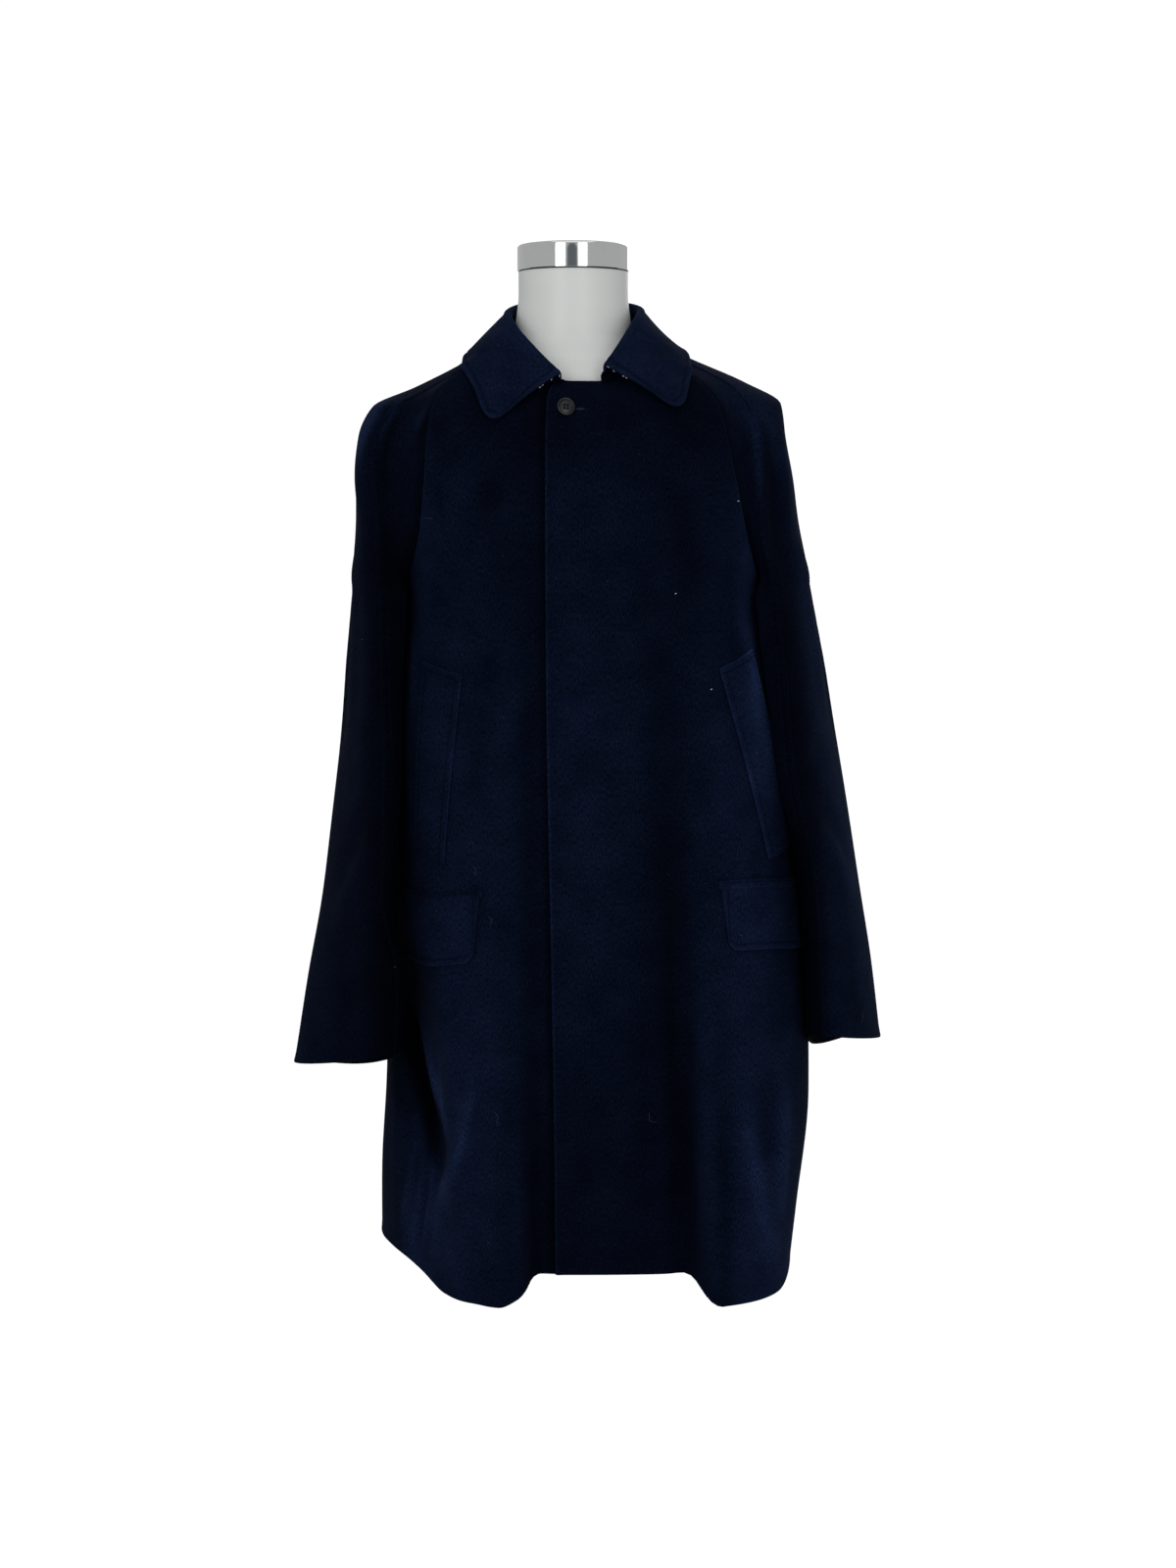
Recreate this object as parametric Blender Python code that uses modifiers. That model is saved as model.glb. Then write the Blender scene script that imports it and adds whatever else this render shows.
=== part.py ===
"""Navy wool raglan overcoat with a concealed button front, worn by a limbless dress form.

Run with: blender --background --factory-startup --python part.py
Metres, +Z up. The origin is the centre of the base plate's underside, +X is the wearer's left and
the coat's front looks along -Y. Every cloth panel is a wall lofted through rows worked out from the
tables below: the body's rows run round it, the sleeves' rows run round the arm.
"""
import math

import bmesh
import bpy
import numpy as np
from mathutils import Vector
from mathutils.bvhtree import BVHTree

RIGHT, LEFT = -1, 1                 # the wearer's sides: -X and +X

# ---- Driving sizes -------------------------------------------------------------------------
CLOTH = 0.0024                      # wall of one panel of lined coat cloth
FLAP_CLOTH = 0.0028                 # wall of the flaps, welts and jets
COLLAR_CLOTH = 0.0028               # wall of the two-layer collar
SEAM_GAP = 0.0004                   # between panels that are sewn together
PATCH_GAP = 0.0008                  # under a pocket piece that lies on a front
LAP_GAP = 0.0010                    # between the two fronts where they lap
UNDERARM_CLEAR = 0.0035             # between the body and the inner face of a sleeve, away from its seam
POCKET_CLEAR, POCKETS_Z = 0.0040, (0.320, 0.760)   # more room there, over the pockets
NECK_LEVEL = 0.24                   # share of the front's top edge that runs level from the centre
UNDERARM_Z = 0.785
HEM_Z = 0.012                       # the hem's lowest points, clear of the floor
HEM_BACK_Z = 0.022                  # the hem at the centre back
HEM_RAISE = 0.0205                  # how much higher it lies at the centre front

SKIRT_ROWS, CAP_ROWS, TUBE_ROWS = 14, 11, 9
LAP_X = (-0.0235, -0.0100, 0.0040, 0.0180, 0.0320)   # columns the two fronts share where they lap
FRONT_COLS, BACK_COLS, STRIP_COLS, ROUND_COLS = 15, 26, 6, 15

NAVY = (0.0065, 0.0105, 0.0260)
WHITE_PLASTIC = (0.60, 0.61, 0.60)
CHROME = (0.62, 0.63, 0.62)
BLACK_HORN = (0.012, 0.012, 0.014)


def table(names, *rows):
    """Named columns, each an array with one value for each row."""
    return dict(zip(names.split(), np.array(rows, float).T))


# Half girth of the body, row by row from the hem up to the underarm: where the centre front, the
# centre back and the two side seams lie, and how square each front corner is.
SKIRT = table(
    "z      front_y  back_y  right_x  right_y  right_square  left_x  left_y  left_square",
    (0.000, -0.169,  0.168,  -0.2195,  0.036,   0.62,        0.250,   0.020,  0.87),
    (0.080, -0.170,  0.167,  -0.2185,  0.034,   0.62,        0.258,   0.020,  0.87),
    (0.200, -0.171,  0.163,  -0.2130,  0.030,   0.62,        0.270,   0.018,  0.82),
    (0.320, -0.172,  0.158,  -0.2110,  0.026,   0.62,        0.268,   0.016,  0.76),
    (0.460, -0.172,  0.152,  -0.2080,  0.020,   0.62,        0.256,   0.012,  0.70),
    (0.600, -0.171,  0.146,  -0.2010,  0.012,   0.66,        0.234,   0.008,  0.68),
    (0.700, -0.170,  0.143,  -0.1925,  0.006,   0.62,        0.216,   0.004,  0.60),
    (0.785, -0.167,  0.141,  -0.1836,  0.000,   0.56,        0.204,   0.000,  0.54),
)

# Centre front and centre back above the underarm, from there (0) up to the neckline (1).
YOKE = table(
    "rise   front_y  front_z  back_y  back_z",
    (0.00,  -0.167,  0.785,   0.141,  0.785),
    (0.30,  -0.164,  0.850,   0.141,  0.860),
    (0.50,  -0.157,  0.900,   0.139,  0.920),
    (0.70,  -0.143,  0.945,   0.132,  0.975),
    (0.85,  -0.123,  0.980,   0.116,  1.022),
    (1.00,  -0.093,  1.014,   0.078,  1.076),
)

# The raglan seams, front and back, and the seam over the arm, from the underarm (0) to the
# neckline (1), drawn for the wearer's left side. Turns are degrees from outward, + to the back.
RAGLAN = table(
    "rise   front_x front_y front_z  over_x  over_y  over_z  back_x  back_y  back_z",
    (0.00,  0.2040,  0.000, 0.785,   0.2175, -0.104, 0.785,  0.2040, 0.000,  0.785),
    (0.12,  0.2005, -0.050, 0.802,   0.2090, -0.107, 0.812,  0.2010, 0.052,  0.806),
    (0.30,  0.1860, -0.102, 0.850,   0.1990, -0.112, 0.858,  0.1900, 0.100,  0.855),
    (0.50,  0.1740, -0.121, 0.903,   0.1965, -0.112, 0.908,  0.1760, 0.119,  0.910),
    (0.70,  0.1640, -0.119, 0.950,   0.1955, -0.098, 0.955,  0.1600, 0.117,  0.962),
    (0.82,  0.1560, -0.103, 0.985,   0.1870, -0.078, 0.988,  0.1410, 0.106,  1.003),
    (0.90,  0.1400, -0.085, 1.010,   0.1680, -0.056, 1.011,  0.1190, 0.093,  1.030),
    (0.96,  0.1110, -0.066, 1.031,   0.1270, -0.031, 1.034,  0.0900, 0.075,  1.054),
    (1.00,  0.0800, -0.047, 1.046,   0.0840, -0.010, 1.056,  0.0620, 0.056,  1.072),
)
# How the cloth leaves those seams: the front panel at the front seam, the strip of sleeve between
# the front seam and the seam over the arm (how deep it dips), and the sleeve round the outside.
CAP = table(
    "rise   panel_turn dip     over_turn over_reach back_turn back_reach right_reach",
    (0.00,  90,        0.000,   0,        0.120,     84,       0.180,     0.95),
    (0.12,  86,        0.003,   0,        0.078,     66,       0.190,     0.95),
    (0.30,  66,        0.008,   0,        0.064,     42,       0.124,     0.95),
    (0.50,  46,        0.010,   4,        0.073,     12,       0.073,     0.95),
    (0.70,  40,        0.009,   10,       0.068,    -10,       0.068,     0.90),
    (0.82,  42,        0.006,   16,       0.081,    -18,       0.081,     0.83),
    (0.90,  46,        0.003,   40,       0.064,    -38,       0.064,     0.83),
    (0.96,  50,        0.001,   50,       0.040,    -50,       0.040,     1.00),
    (1.00,  55,        0.000,   60,       0.024,    -60,       0.024,     1.00),
)

# The hanging sleeves below the underarm: centre, half width and half thickness of the flattened
# tube, the thickness of its inner half against its outer one, how far its outer face has turned to
# the front (degrees), and how far the underarm seam has swung round from the inner face to the
# back fold (degrees), and how much higher the section runs at its front fold, its back fold and
# in the middle of its inner face.
TUBE = {
    RIGHT: table(
        "z      x        y       half_width half_thick inner turn  swing front_lift back_lift inner_lift",
        (0.257, -0.2520, -0.082, 0.078,     0.031,     0.75, 52,   80,    0.0330,    0.000,   -0.0125),
        (0.360, -0.2410, -0.068, 0.086,     0.031,     0.80, 40,   72,    0.0175,    0.000,   -0.0060),
        (0.460, -0.2375, -0.050, 0.093,     0.031,     0.92, 24,   60,    0.0050,    0.000,   -0.0020),
        (0.610, -0.2271, -0.020, 0.099,     0.030,     1.00, 17,   36,    0,         0,        0),
        (0.700, -0.2218, -0.007, 0.103,     0.032,     0.95, 12,   18,    0,         0,        0),
        (0.785, -0.2111, -0.001, 0.106,     0.0380,    0.75,  6,    0,    0,         0,        0),
    ),
    LEFT: table(
        "z      x       y       half_width half_thick inner turn  swing front_lift back_lift inner_lift",
        (0.288, 0.3058, -0.040, 0.078,     0.0338,    1.00, 27,   80,    0.0173,   -0.0173,  -0.0147),
        (0.370, 0.2985, -0.030, 0.086,     0.0320,    0.97, 22,   72,    0.0090,   -0.0090,  -0.0070),
        (0.460, 0.2870, -0.020, 0.093,     0.031,     0.92, 17,   60,    0.0030,   -0.0030,  -0.0020),
        (0.610, 0.2612, -0.010, 0.099,     0.031,     1.00, 17,   36,    0,         0,        0),
        (0.700, 0.2467, -0.006, 0.103,     0.033,     0.95, 13,   18,    0,         0,        0),
        (0.785, 0.2299, -0.001, 0.106,     0.0352,    0.75,  9,    0,    0,         0,        0),
    ),
}

# The wearer's right against the left: widths of the front seam and of the seam over the arm, and
# how much lower the shoulder and back seam lie.
RIGHT_SHRINK = table(
    "rise  front  over   drop",
    (0.00, 0.900, 0.940, 0.000),
    (0.12, 0.890, 0.970, 0.000),
    (0.30, 0.885, 1.020, 0.000),
    (0.50, 0.905, 1.050, 0.000),
    (0.70, 0.940, 1.060, 0.000),
    (0.82, 0.960, 1.010, 0.002),
    (0.90, 0.985, 0.940, 0.006),
    (0.96, 0.995, 0.960, 0.007),
    (1.00, 1.000, 1.000, 0.003),
)

# Long folds of the body. The panel behind the fly falls back between the two front cones.
FLY_TROUGH = table(
    "z     depth  right_x  right_soft left_x  left_soft",
    (0.00, 0.056, -0.0610, 0.029,     0.120,  0.040),
    (0.20, 0.043, -0.0610, 0.029,     0.117,  0.042),
    (0.40, 0.023, -0.0610, 0.029,     0.110,  0.050),
    (0.60, 0.009, -0.0610, 0.029,     0.104,  0.060),
    (0.80, 0.000, -0.0610, 0.029,     0.100,  0.060),
)
# The hem of each front, as shares from the centre front (0) to the side seam (1): where the raised
# middle ends and how softly, how far the side rises, and where that begins and ends.
HEM = {RIGHT: (0.10, 0.12, 0.028, 0.46, 0.74), LEFT: (0.235, 0.11, 0.022, 0.62, 1.0)}
# Other body folds, as inward (-) or outward (+) swells round the axis: angle from the front in
# degrees (+ to the wearer's left) at the hem and at the fold's top, and its half width.
BODY_FOLDS = table(
    "hem_angle top_angle half_angle depth   z_low   z_peak  z_high",
    (-58,      -66,      19,       -0.030,  -0.15,  0.21,   0.46),
    (-92,      -90,      17,        0.007,  -0.60,  0.08,   0.50),
    (118,      112,      17,       -0.014,  -0.60,  0.00,   0.62),
    (-121,    -114,      17,       -0.014,  -0.60,  0.00,   0.58),
    (150,      148,      16,        0.014,  -0.60,  0.00,   0.66),
    (-152,    -148,      16,        0.013,  -0.60,  0.00,   0.62),
    (179.9,    179.9,    15,       -0.012,  -0.60,  0.00,   0.60),
)
# Dents of each sleeve's outer half behind the seam over the arm, along the sleeve. Place is the
# share of the way from that seam (0) round to the back or underarm seam (1).
SLEEVE_DENTS = {
    RIGHT: table(
        "place  half_width depth   rise_low rise_peak rise_high",
        (0.30,  0.16,     -0.004,  -0.40,   0.40,     0.84),
    ),
    LEFT: table(
        "place  half_width depth   rise_low rise_peak rise_high",
        (0.12,  0.11,     -0.010,  -0.30,   0.42,     0.84),
    ),
}

# The collar, from the centre back (0) to its front end (1): the roll, the free edge of the fall,
# and how far the fall bows out between them.
COLLAR = {
    RIGHT: table(
        "along  roll_x  roll_y  roll_z   edge_x  edge_y  edge_z   bow",
        (0.00,   0.000,  0.073, 1.104,    0.000,  0.112, 1.044,   0.004),
        (0.30,  -0.058,  0.050, 1.100,   -0.090,  0.076, 1.044,   0.004),
        (0.50,  -0.0720, 0.000, 1.0885,  -0.121,  0.000, 1.0440,  0.001),
        (0.70,  -0.063, -0.050, 1.070,   -0.120, -0.056, 1.0290,  0.004),
        (0.86,  -0.041, -0.083, 1.0450,  -0.1005, -0.108, 0.9960, 0.005),
        (1.00,  -0.017, -0.1010, 1.0205, -0.0890, -0.1350, 0.9755, 0.003),
    ),
    LEFT: table(
        "along  roll_x  roll_y  roll_z   edge_x  edge_y  edge_z   bow",
        (0.00,   0.000,  0.073, 1.104,    0.000,  0.112, 1.044,   0.004),
        (0.30,   0.058,  0.050, 1.101,    0.092,  0.076, 1.046,   0.003),
        (0.50,   0.0740, 0.000, 1.0915,   0.125,  0.000, 1.0480,  -0.002),
        (0.70,   0.067, -0.050, 1.076,    0.127, -0.056, 1.0340,  0.001),
        (0.86,   0.053, -0.083, 1.0530,   0.1210, -0.104, 1.0030,  0.004),
        (1.00,   0.036, -0.0990, 1.0280,  0.1120, -0.1300, 0.9810, 0.003),
    ),
}
ROLL_RADIUS, ROLL_END_RADIUS = 0.0048, 0.0042
COLLAR_CORNER = (0.06, 0.19)        # rounding of each collar point: share of its length and width
COLLAR_STEPS = (0, 0.12, 0.24, 0.35, 0.45, 0.54, 0.62, 0.69, 0.755, 0.82, 0.88, 0.925, 0.952, 0.973, 0.989, 1.0)
COLLAR_ROWS = 6
COLLAR_CLEAR = 0.0034               # between the fall and the coat below it

# Pockets, on each front: distance round the body from the centre front, and height.
WELT = {
    RIGHT: {"top_in": (0.124, 0.706), "top_out": (0.174, 0.716), "low_in": (0.142, 0.503), "low_out": (0.184, 0.514)},
    LEFT: {"top_in": (0.166, 0.711), "top_out": (0.224, 0.727), "low_in": (0.226, 0.504), "low_out": (0.282, 0.512)},
}
FLAP = {
    RIGHT: {"inner": 0.104, "outer": 0.262, "top": 0.482, "dip": 0.026, "drop": 0.074},
    LEFT: {"inner": 0.162, "outer": 0.320, "top": 0.487, "dip": 0.030, "drop": 0.074},
}
JET_HEIGHT = 0.0085
JET_OVERHANG = 0.003
FLAP_CORNER = 0.014
FLAP_COLUMNS = (0, 0.012, 0.03, 0.055, 0.09, 0.16, 0.24, 0.32, 0.40, 0.49, 0.58, 0.67, 0.78, 0.89, 1.0)

BUTTON_X, BUTTON_Z = -0.0075, 0.987
BUTTON_RADIUS, BUTTON_THICK = 0.0098, 0.0036

# The dress form: half width, half depth and centre of each level.
FORM = table(
    "z      half_x   half_y   y       round",
    (0.400, 0.1500,  0.1080,  0.012,  2.2),
    (0.470, 0.1600,  0.1140,  0.014,  2.2),
    (0.560, 0.1520,  0.1080,  0.012,  2.2),
    (0.650, 0.1400,  0.1020,  0.006,  2.2),
    (0.740, 0.1480,  0.1120, -0.002,  2.3),
    (0.830, 0.1620,  0.1210, -0.008,  2.4),
    (0.890, 0.1760,  0.1170, -0.008,  2.4),
    (0.935, 0.1880,  0.1060, -0.005,  2.3),
    (0.970, 0.1890,  0.0930, -0.003,  2.2),
    (0.998, 0.1740,  0.0800, -0.004,  2.1),
    (1.0195, 0.1420, 0.0700, -0.006,  2.0),
    (1.035, 0.1040,  0.0640, -0.005,  2.0),
    (1.050, 0.0780,  0.0610, -0.002,  2.0),
    (1.066, 0.0665,  0.0600,  0.000,  2.0),
    (1.090, 0.0620,  0.0590,  0.000,  2.0),
    (1.110, 0.0600,  0.0588,  0.000,  2.0),
    (1.1342, 0.0600, 0.0588,  0.000,  2.0),
)
FORM_SIDES = 28
CAP_RADIUS, CAP_TOP, CAP_BOTTOM = 0.0612, 1.1630, 1.1345
POST_RADIUS = 0.0160
BASE_HALF_X, BASE_HALF_Y, BASE_Y = 0.150, 0.080, 0.050     # oval plate, further back than the post
BASE_THICK = 0.010


# ---- Curves and small helpers --------------------------------------------------------------
def through(knots, values, at):
    """A smooth curve through the knots that doesn't overshoot them (monotone cubic)."""
    knots, values = np.asarray(knots, float), np.asarray(values, float)
    at = np.clip(np.asarray(at, float), knots[0], knots[-1])
    step = np.diff(knots)
    slope = np.diff(values) / step
    tangent = np.zeros_like(values)
    before, after = 2 * step[1:] + step[:-1], step[1:] + 2 * step[:-1]
    same_way = slope[:-1] * slope[1:] > 0
    safe = np.where(same_way, slope[:-1], 1.0), np.where(same_way, slope[1:], 1.0)
    mean = (before + after) / (before / safe[0] + after / safe[1])
    tangent[1:-1] = np.where(same_way, mean, 0.0)
    tangent[0], tangent[-1] = slope[0], slope[-1]
    i = np.clip(np.searchsorted(knots, at, side="right") - 1, 0, len(step) - 1)
    t = (at - knots[i]) / step[i]
    return ((1 + 2 * t) * (1 - t) ** 2 * values[i] + t * (1 - t) ** 2 * step[i] * tangent[i]
            + t * t * (3 - 2 * t) * values[i + 1] + t * t * (t - 1) * step[i] * tangent[i + 1])


def ease(t):
    """0 below 0, 1 above 1, and smooth between."""
    t = np.clip(t, 0.0, 1.0)
    return t * t * (3 - 2 * t)


def swell(offset, half_width):
    """A soft bump, 1 in the middle and 0 from half_width away."""
    share = np.clip(np.abs(offset) / half_width, 0, 1)
    return 0.5 + 0.5 * np.cos(math.pi * share)


def fade(at, low, peak, high):
    """Rises from low to peak and dies away at high."""
    return np.where(at < peak, ease((at - low) / (peak - low)), ease((high - at) / (high - peak)))


def bezier(points, t):
    """The cubic through four control points, each with its last axis x, y, z."""
    t = np.asarray(t, float)[..., None]
    weights = ((1 - t) ** 3, 3 * t * (1 - t) ** 2, 3 * t * t * (1 - t), t ** 3)
    return sum(weight * point for weight, point in zip(weights, points))


def xyz(x, y, z):
    """Coordinates joined into points."""
    return np.stack(np.broadcast_arrays(x, y, z), axis=-1).astype(float)


def unit(vectors):
    """The same directions, with length 1."""
    return vectors / np.maximum(np.linalg.norm(vectors, axis=-1, keepdims=True), 1e-12)


def grid_normals(points, outward):
    """The surface's normals, turned to the same side as the outward vectors."""
    along = np.gradient(points, axis=0)
    across = np.gradient(points, axis=1)
    normals = unit(np.cross(along, across))
    agree = np.sum(normals * outward)
    return normals * (1 if agree > 0 else -1)


# ---- Body surface --------------------------------------------------------------------------
def shrink(side, rise, name):
    """The wearer's right is a little narrower than the left."""
    if side == LEFT:
        return 0.0 * np.asarray(rise, float) + (0.0 if name == "drop" else 1.0)
    return through(RIGHT_SHRINK["rise"], RIGHT_SHRINK[name], rise)


def raglan_seam(side, rise, name):
    """A point of the front or back raglan seam, from the underarm (0) to the neckline (1)."""
    x, y, z = (through(RAGLAN["rise"], RAGLAN[f"{name}_{axis}"], rise) for axis in "xyz")
    drop = 0.0 if name == "front" else shrink(side, rise, "drop") * ease((1 - np.asarray(rise)) / 0.04)
    return xyz(side * x * shrink(side, rise, "front"), y, z - drop)


def body_folds(points):
    """Moves the body's points into its long folds."""
    x, y, z = (points[..., i] for i in range(3))
    trough = {name: through(FLY_TROUGH["z"], FLY_TROUGH[name], z) for name in FLY_TROUGH}
    inside = (ease((x - trough["right_x"]) / trough["right_soft"])
              * ease((trough["left_x"] + trough["left_soft"] - x) / trough["left_soft"]))
    moved = points.copy()
    moved[..., 1] += trough["depth"] * inside * ease(-y / 0.05)
    angle = np.degrees(np.arctan2(x, -y))
    radial = unit(xyz(x, y, 0 * z))
    for k in range(len(BODY_FOLDS["depth"])):
        fold = {name: values[k] for name, values in BODY_FOLDS.items()}
        centre = fold["hem_angle"] + (fold["top_angle"] - fold["hem_angle"]) * ease(z / fold["z_high"])
        off = (angle - centre + 180) % 360 - 180
        size = fold["depth"] * swell(off, fold["half_angle"]) * fade(z, fold["z_low"], fold["z_peak"], fold["z_high"])
        moved += radial * size[..., None]
    return moved


def hem_height(side, share, front):
    """Height of the hem, round from the centre (0) to the side seam (1)."""
    trough_edge, trough_soft, side_rise, side_start, side_end = HEM[side]
    if not front:
        return HEM_BACK_Z + (HEM_Z + side_rise - HEM_BACK_Z) * ease(share)
    centre = HEM_RAISE * (1 - ease((share - trough_edge) / trough_soft))
    return HEM_Z + centre + side_rise * ease((share - side_start) / (side_end - side_start))


def half_row(side, level, share, front):
    """A point of the body, on one side of one face, without its folds.

    level runs from the hem (0) to the underarm (1) and the neckline (2); share from the centre
    front or back (0) to the side or raglan seam (1).
    """
    level, share = np.broadcast_arrays(np.asarray(level, float), np.asarray(share, float))
    low, rise = np.clip(level, 0, 1), np.clip(level - 1, 0, 1)
    face, wearer = ("front" if front else "back"), ("left" if side == LEFT else "right")
    z_row = low * UNDERARM_Z
    skirt = {n: through(SKIRT["z"], SKIRT[n], z_row) for n in
             (f"{face}_y", f"{wearer}_x", f"{wearer}_y", f"{wearer}_square")}
    above = level > 1
    centre_y = np.where(above, through(YOKE["rise"], YOKE[f"{face}_y"], rise), skirt[f"{face}_y"])
    seam = raglan_seam(side, rise, face)
    edge_x = np.where(above, seam[..., 0], skirt[f"{wearer}_x"])
    edge_y = np.where(above, seam[..., 1], skirt[f"{wearer}_y"])
    turn = np.radians(np.where(above, through(CAP["rise"], CAP["panel_turn"], rise), 90.0))
    turn = turn if front else -turn
    square = skirt[f"{wearer}_square"] if front else np.full_like(low, 0.62)
    square = np.where(above, square + (0.45 - square) * ease(rise), square)
    centre = xyz(0 * edge_x, centre_y, 0)
    edge = xyz(edge_x, edge_y, 0)
    reach = square * np.maximum(np.abs(centre_y - edge_y), 0.5 * np.abs(edge_x) * ease(rise))
    leave = xyz(square * edge_x, centre_y, 0)
    arrive = edge - xyz(side * np.cos(turn), np.sin(turn), 0) * reach[..., None]
    points = bezier((centre, leave, arrive, edge), share)
    skirt_z = hem_height(side, share, front) * (1 - low) + low * UNDERARM_Z
    centre_z = through(YOKE["rise"], YOKE[f"{face}_z"], rise)
    level_part = NECK_LEVEL * ease((rise - 0.6) / 0.4) if front else 0.0
    yoke_z = centre_z + (seam[..., 2] - centre_z) * ease((share - level_part) / (1 - level_part))
    points[..., 2] = np.where(above, yoke_z, skirt_z)
    return points


def front_row(level, across):
    """A point of the folded front: across runs from the right seam (-1) to the left seam (+1)."""
    level, across = np.broadcast_arrays(np.asarray(level, float), np.asarray(across, float))
    left = half_row(LEFT, level, np.clip(across, 0, 1), True)
    right = half_row(RIGHT, level, np.clip(-across, 0, 1), True)
    return body_folds(np.where((across >= 0)[..., None], left, right))


def back_row(level, across):
    """A point of the folded back, across from the right seam (-1) to the left seam (+1)."""
    level, across = np.broadcast_arrays(np.asarray(level, float), np.asarray(across, float))
    left = half_row(LEFT, level, np.clip(across, 0, 1), False)
    right = half_row(RIGHT, level, np.clip(-across, 0, 1), False)
    return body_folds(np.where((across >= 0)[..., None], left, right))


def across_at_x(level, x):
    """The across value at which the front passes a given x near the centre."""
    tries = np.linspace(-0.5, 0.5, 101)
    return np.array([np.interp(x, front_row(one, tries)[:, 0], tries) for one in level])


def levels():
    """The body's rows, from the hem to the neckline."""
    return np.concatenate([np.linspace(0, 1, SKIRT_ROWS + 1), 1 + cap_rises()[1:]])


def cap_rises():
    """The rows above the underarm, the same for the body and the sleeves, closer near the neck."""
    t = np.linspace(0, 1, CAP_ROWS + 1)
    return 1 - (1 - t) ** 1.25


# ---- Sleeve surface ------------------------------------------------------------------------
def tube_row(side, row, face, shares):
    """One half of a hanging tube's section, from its front fold to the underarm seam."""
    turn = math.radians(row["turn"])
    out = np.array([side * math.cos(turn), -math.sin(turn), 0.0])
    forward = np.array([-side * math.sin(turn), -math.cos(turn), 0.0])
    end = math.pi + math.radians(row["swing"]) - (0 if face == "front" else 2 * math.pi)
    angle = math.pi / 2 + (end - math.pi / 2) * shares
    across = np.cos(angle) * np.where(np.cos(angle) < 0, row["inner"], 1.0)
    lift = (row["front_lift"] + row["back_lift"]) / 2 + (row["front_lift"] - row["back_lift"]) / 2 * np.sin(angle)
    lift = lift + row["inner_lift"] * np.maximum(0, -np.cos(angle)) ** 2
    return (xyz(row["x"], row["y"], row["z"] + lift) + across[:, None] * out * row["half_thick"]
            + np.sin(angle)[:, None] * forward * row["half_width"])


def cap_row(side, rise, face, shares):
    """One half of the sleeve's section above the underarm, from the seam over the arm."""
    over = np.array([side * float(through(RAGLAN["rise"], RAGLAN["over_x"], rise)) * float(shrink(side, rise, "over")),
                     float(through(RAGLAN["rise"], RAGLAN["over_y"], rise)),
                     float(through(RAGLAN["rise"], RAGLAN["over_z"], rise)) - float(shrink(side, rise, "drop"))])
    seam = raglan_seam(side, rise, face)
    cap = {name: float(through(CAP["rise"], CAP[name], rise)) for name in CAP}
    if face == "front":
        dip = np.array([0.0, cap["dip"], 0.0])
        return bezier((over, over + (seam - over) * 0.3 + dip, over + (seam - over) * 0.7 + dip, seam), shares)
    leave, arrive = math.radians(cap["over_turn"]), math.radians(cap["back_turn"])
    scale = cap["right_reach"] if side == RIGHT else 1.0
    return bezier((over, over + scale * cap["over_reach"] * np.array([side * math.cos(leave), math.sin(leave), 0.0]),
                   seam + scale * cap["back_reach"] * np.array([side * math.cos(arrive), math.sin(arrive), 0.0]), seam), shares)


def sleeve_half(side, face, rises, shares):
    """Points of one half of a sleeve: a row for each rise, from the seam over the arm outwards."""
    tube = TUBE[side]
    height = UNDERARM_Z - tube["z"][0]
    knots, sections = [], []
    for k in range(len(tube["z"])):
        row = {name: values[k] for name, values in tube.items()}
        knots.append((row["z"] - UNDERARM_Z) / height)
        sections.append(tube_row(side, row, face, shares))
    for rise in RAGLAN["rise"][1:]:
        knots.append(rise)
        sections.append(cap_row(side, rise, face, shares))
    sections = np.array(sections)
    points = np.empty((len(rises), len(shares), 3))
    for column in range(len(shares)):
        for axis in range(3):
            points[:, column, axis] = through(knots, sections[:, column, axis], rises)
    above = np.asarray(rises) >= 0
    points[above, -1] = raglan_seam(side, np.asarray(rises)[above], face)
    hanging = len(tube["z"])
    for axis in range(3):
        points[~above, -1, axis] = through(knots[:hanging], sections[:hanging, -1, axis], np.asarray(rises)[~above])
    if face == "back":
        points = dented(side, points, *np.meshgrid(rises, shares, indexing="ij"))
    return points


def dented(side, points, rise, share):
    """The soft dents along the outer half of a sleeve."""
    normals = grid_normals(points, points - points.mean(axis=1, keepdims=True))
    dents = SLEEVE_DENTS[side]
    for k in range(len(dents["depth"])):
        fold = {name: values[k] for name, values in dents.items()}
        size = fold["depth"] * swell(share - fold["place"], fold["half_width"])
        points = points + normals * (size * fade(rise, fold["rise_low"], fold["rise_peak"], fold["rise_high"]))[..., None]
    return points


def sleeve_rises():
    """The sleeve's rows, from the cuff to the neckline."""
    return np.concatenate([np.linspace(-1, 0, TUBE_ROWS + 1)[:-1], cap_rises()])


# ---- Building nodes ------------------------------------------------------------------------
def material(name, colour, roughness, metallic=0.0):
    """A Principled material of one colour."""
    made = bpy.data.materials.new(name)
    made.use_nodes = True
    shader = made.node_tree.nodes["Principled BSDF"]
    shader.inputs["Base Color"].default_value = (*colour, 1)
    shader.inputs["Roughness"].default_value = roughness
    shader.inputs["Metallic"].default_value = metallic
    return made


def add_object(name, mesh, finish, collection):
    """A named object that holds the mesh, in the part's collection."""
    mesh.materials.append(finish)
    node = bpy.data.objects.new(name, mesh)
    collection.objects.link(node)
    return node


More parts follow.
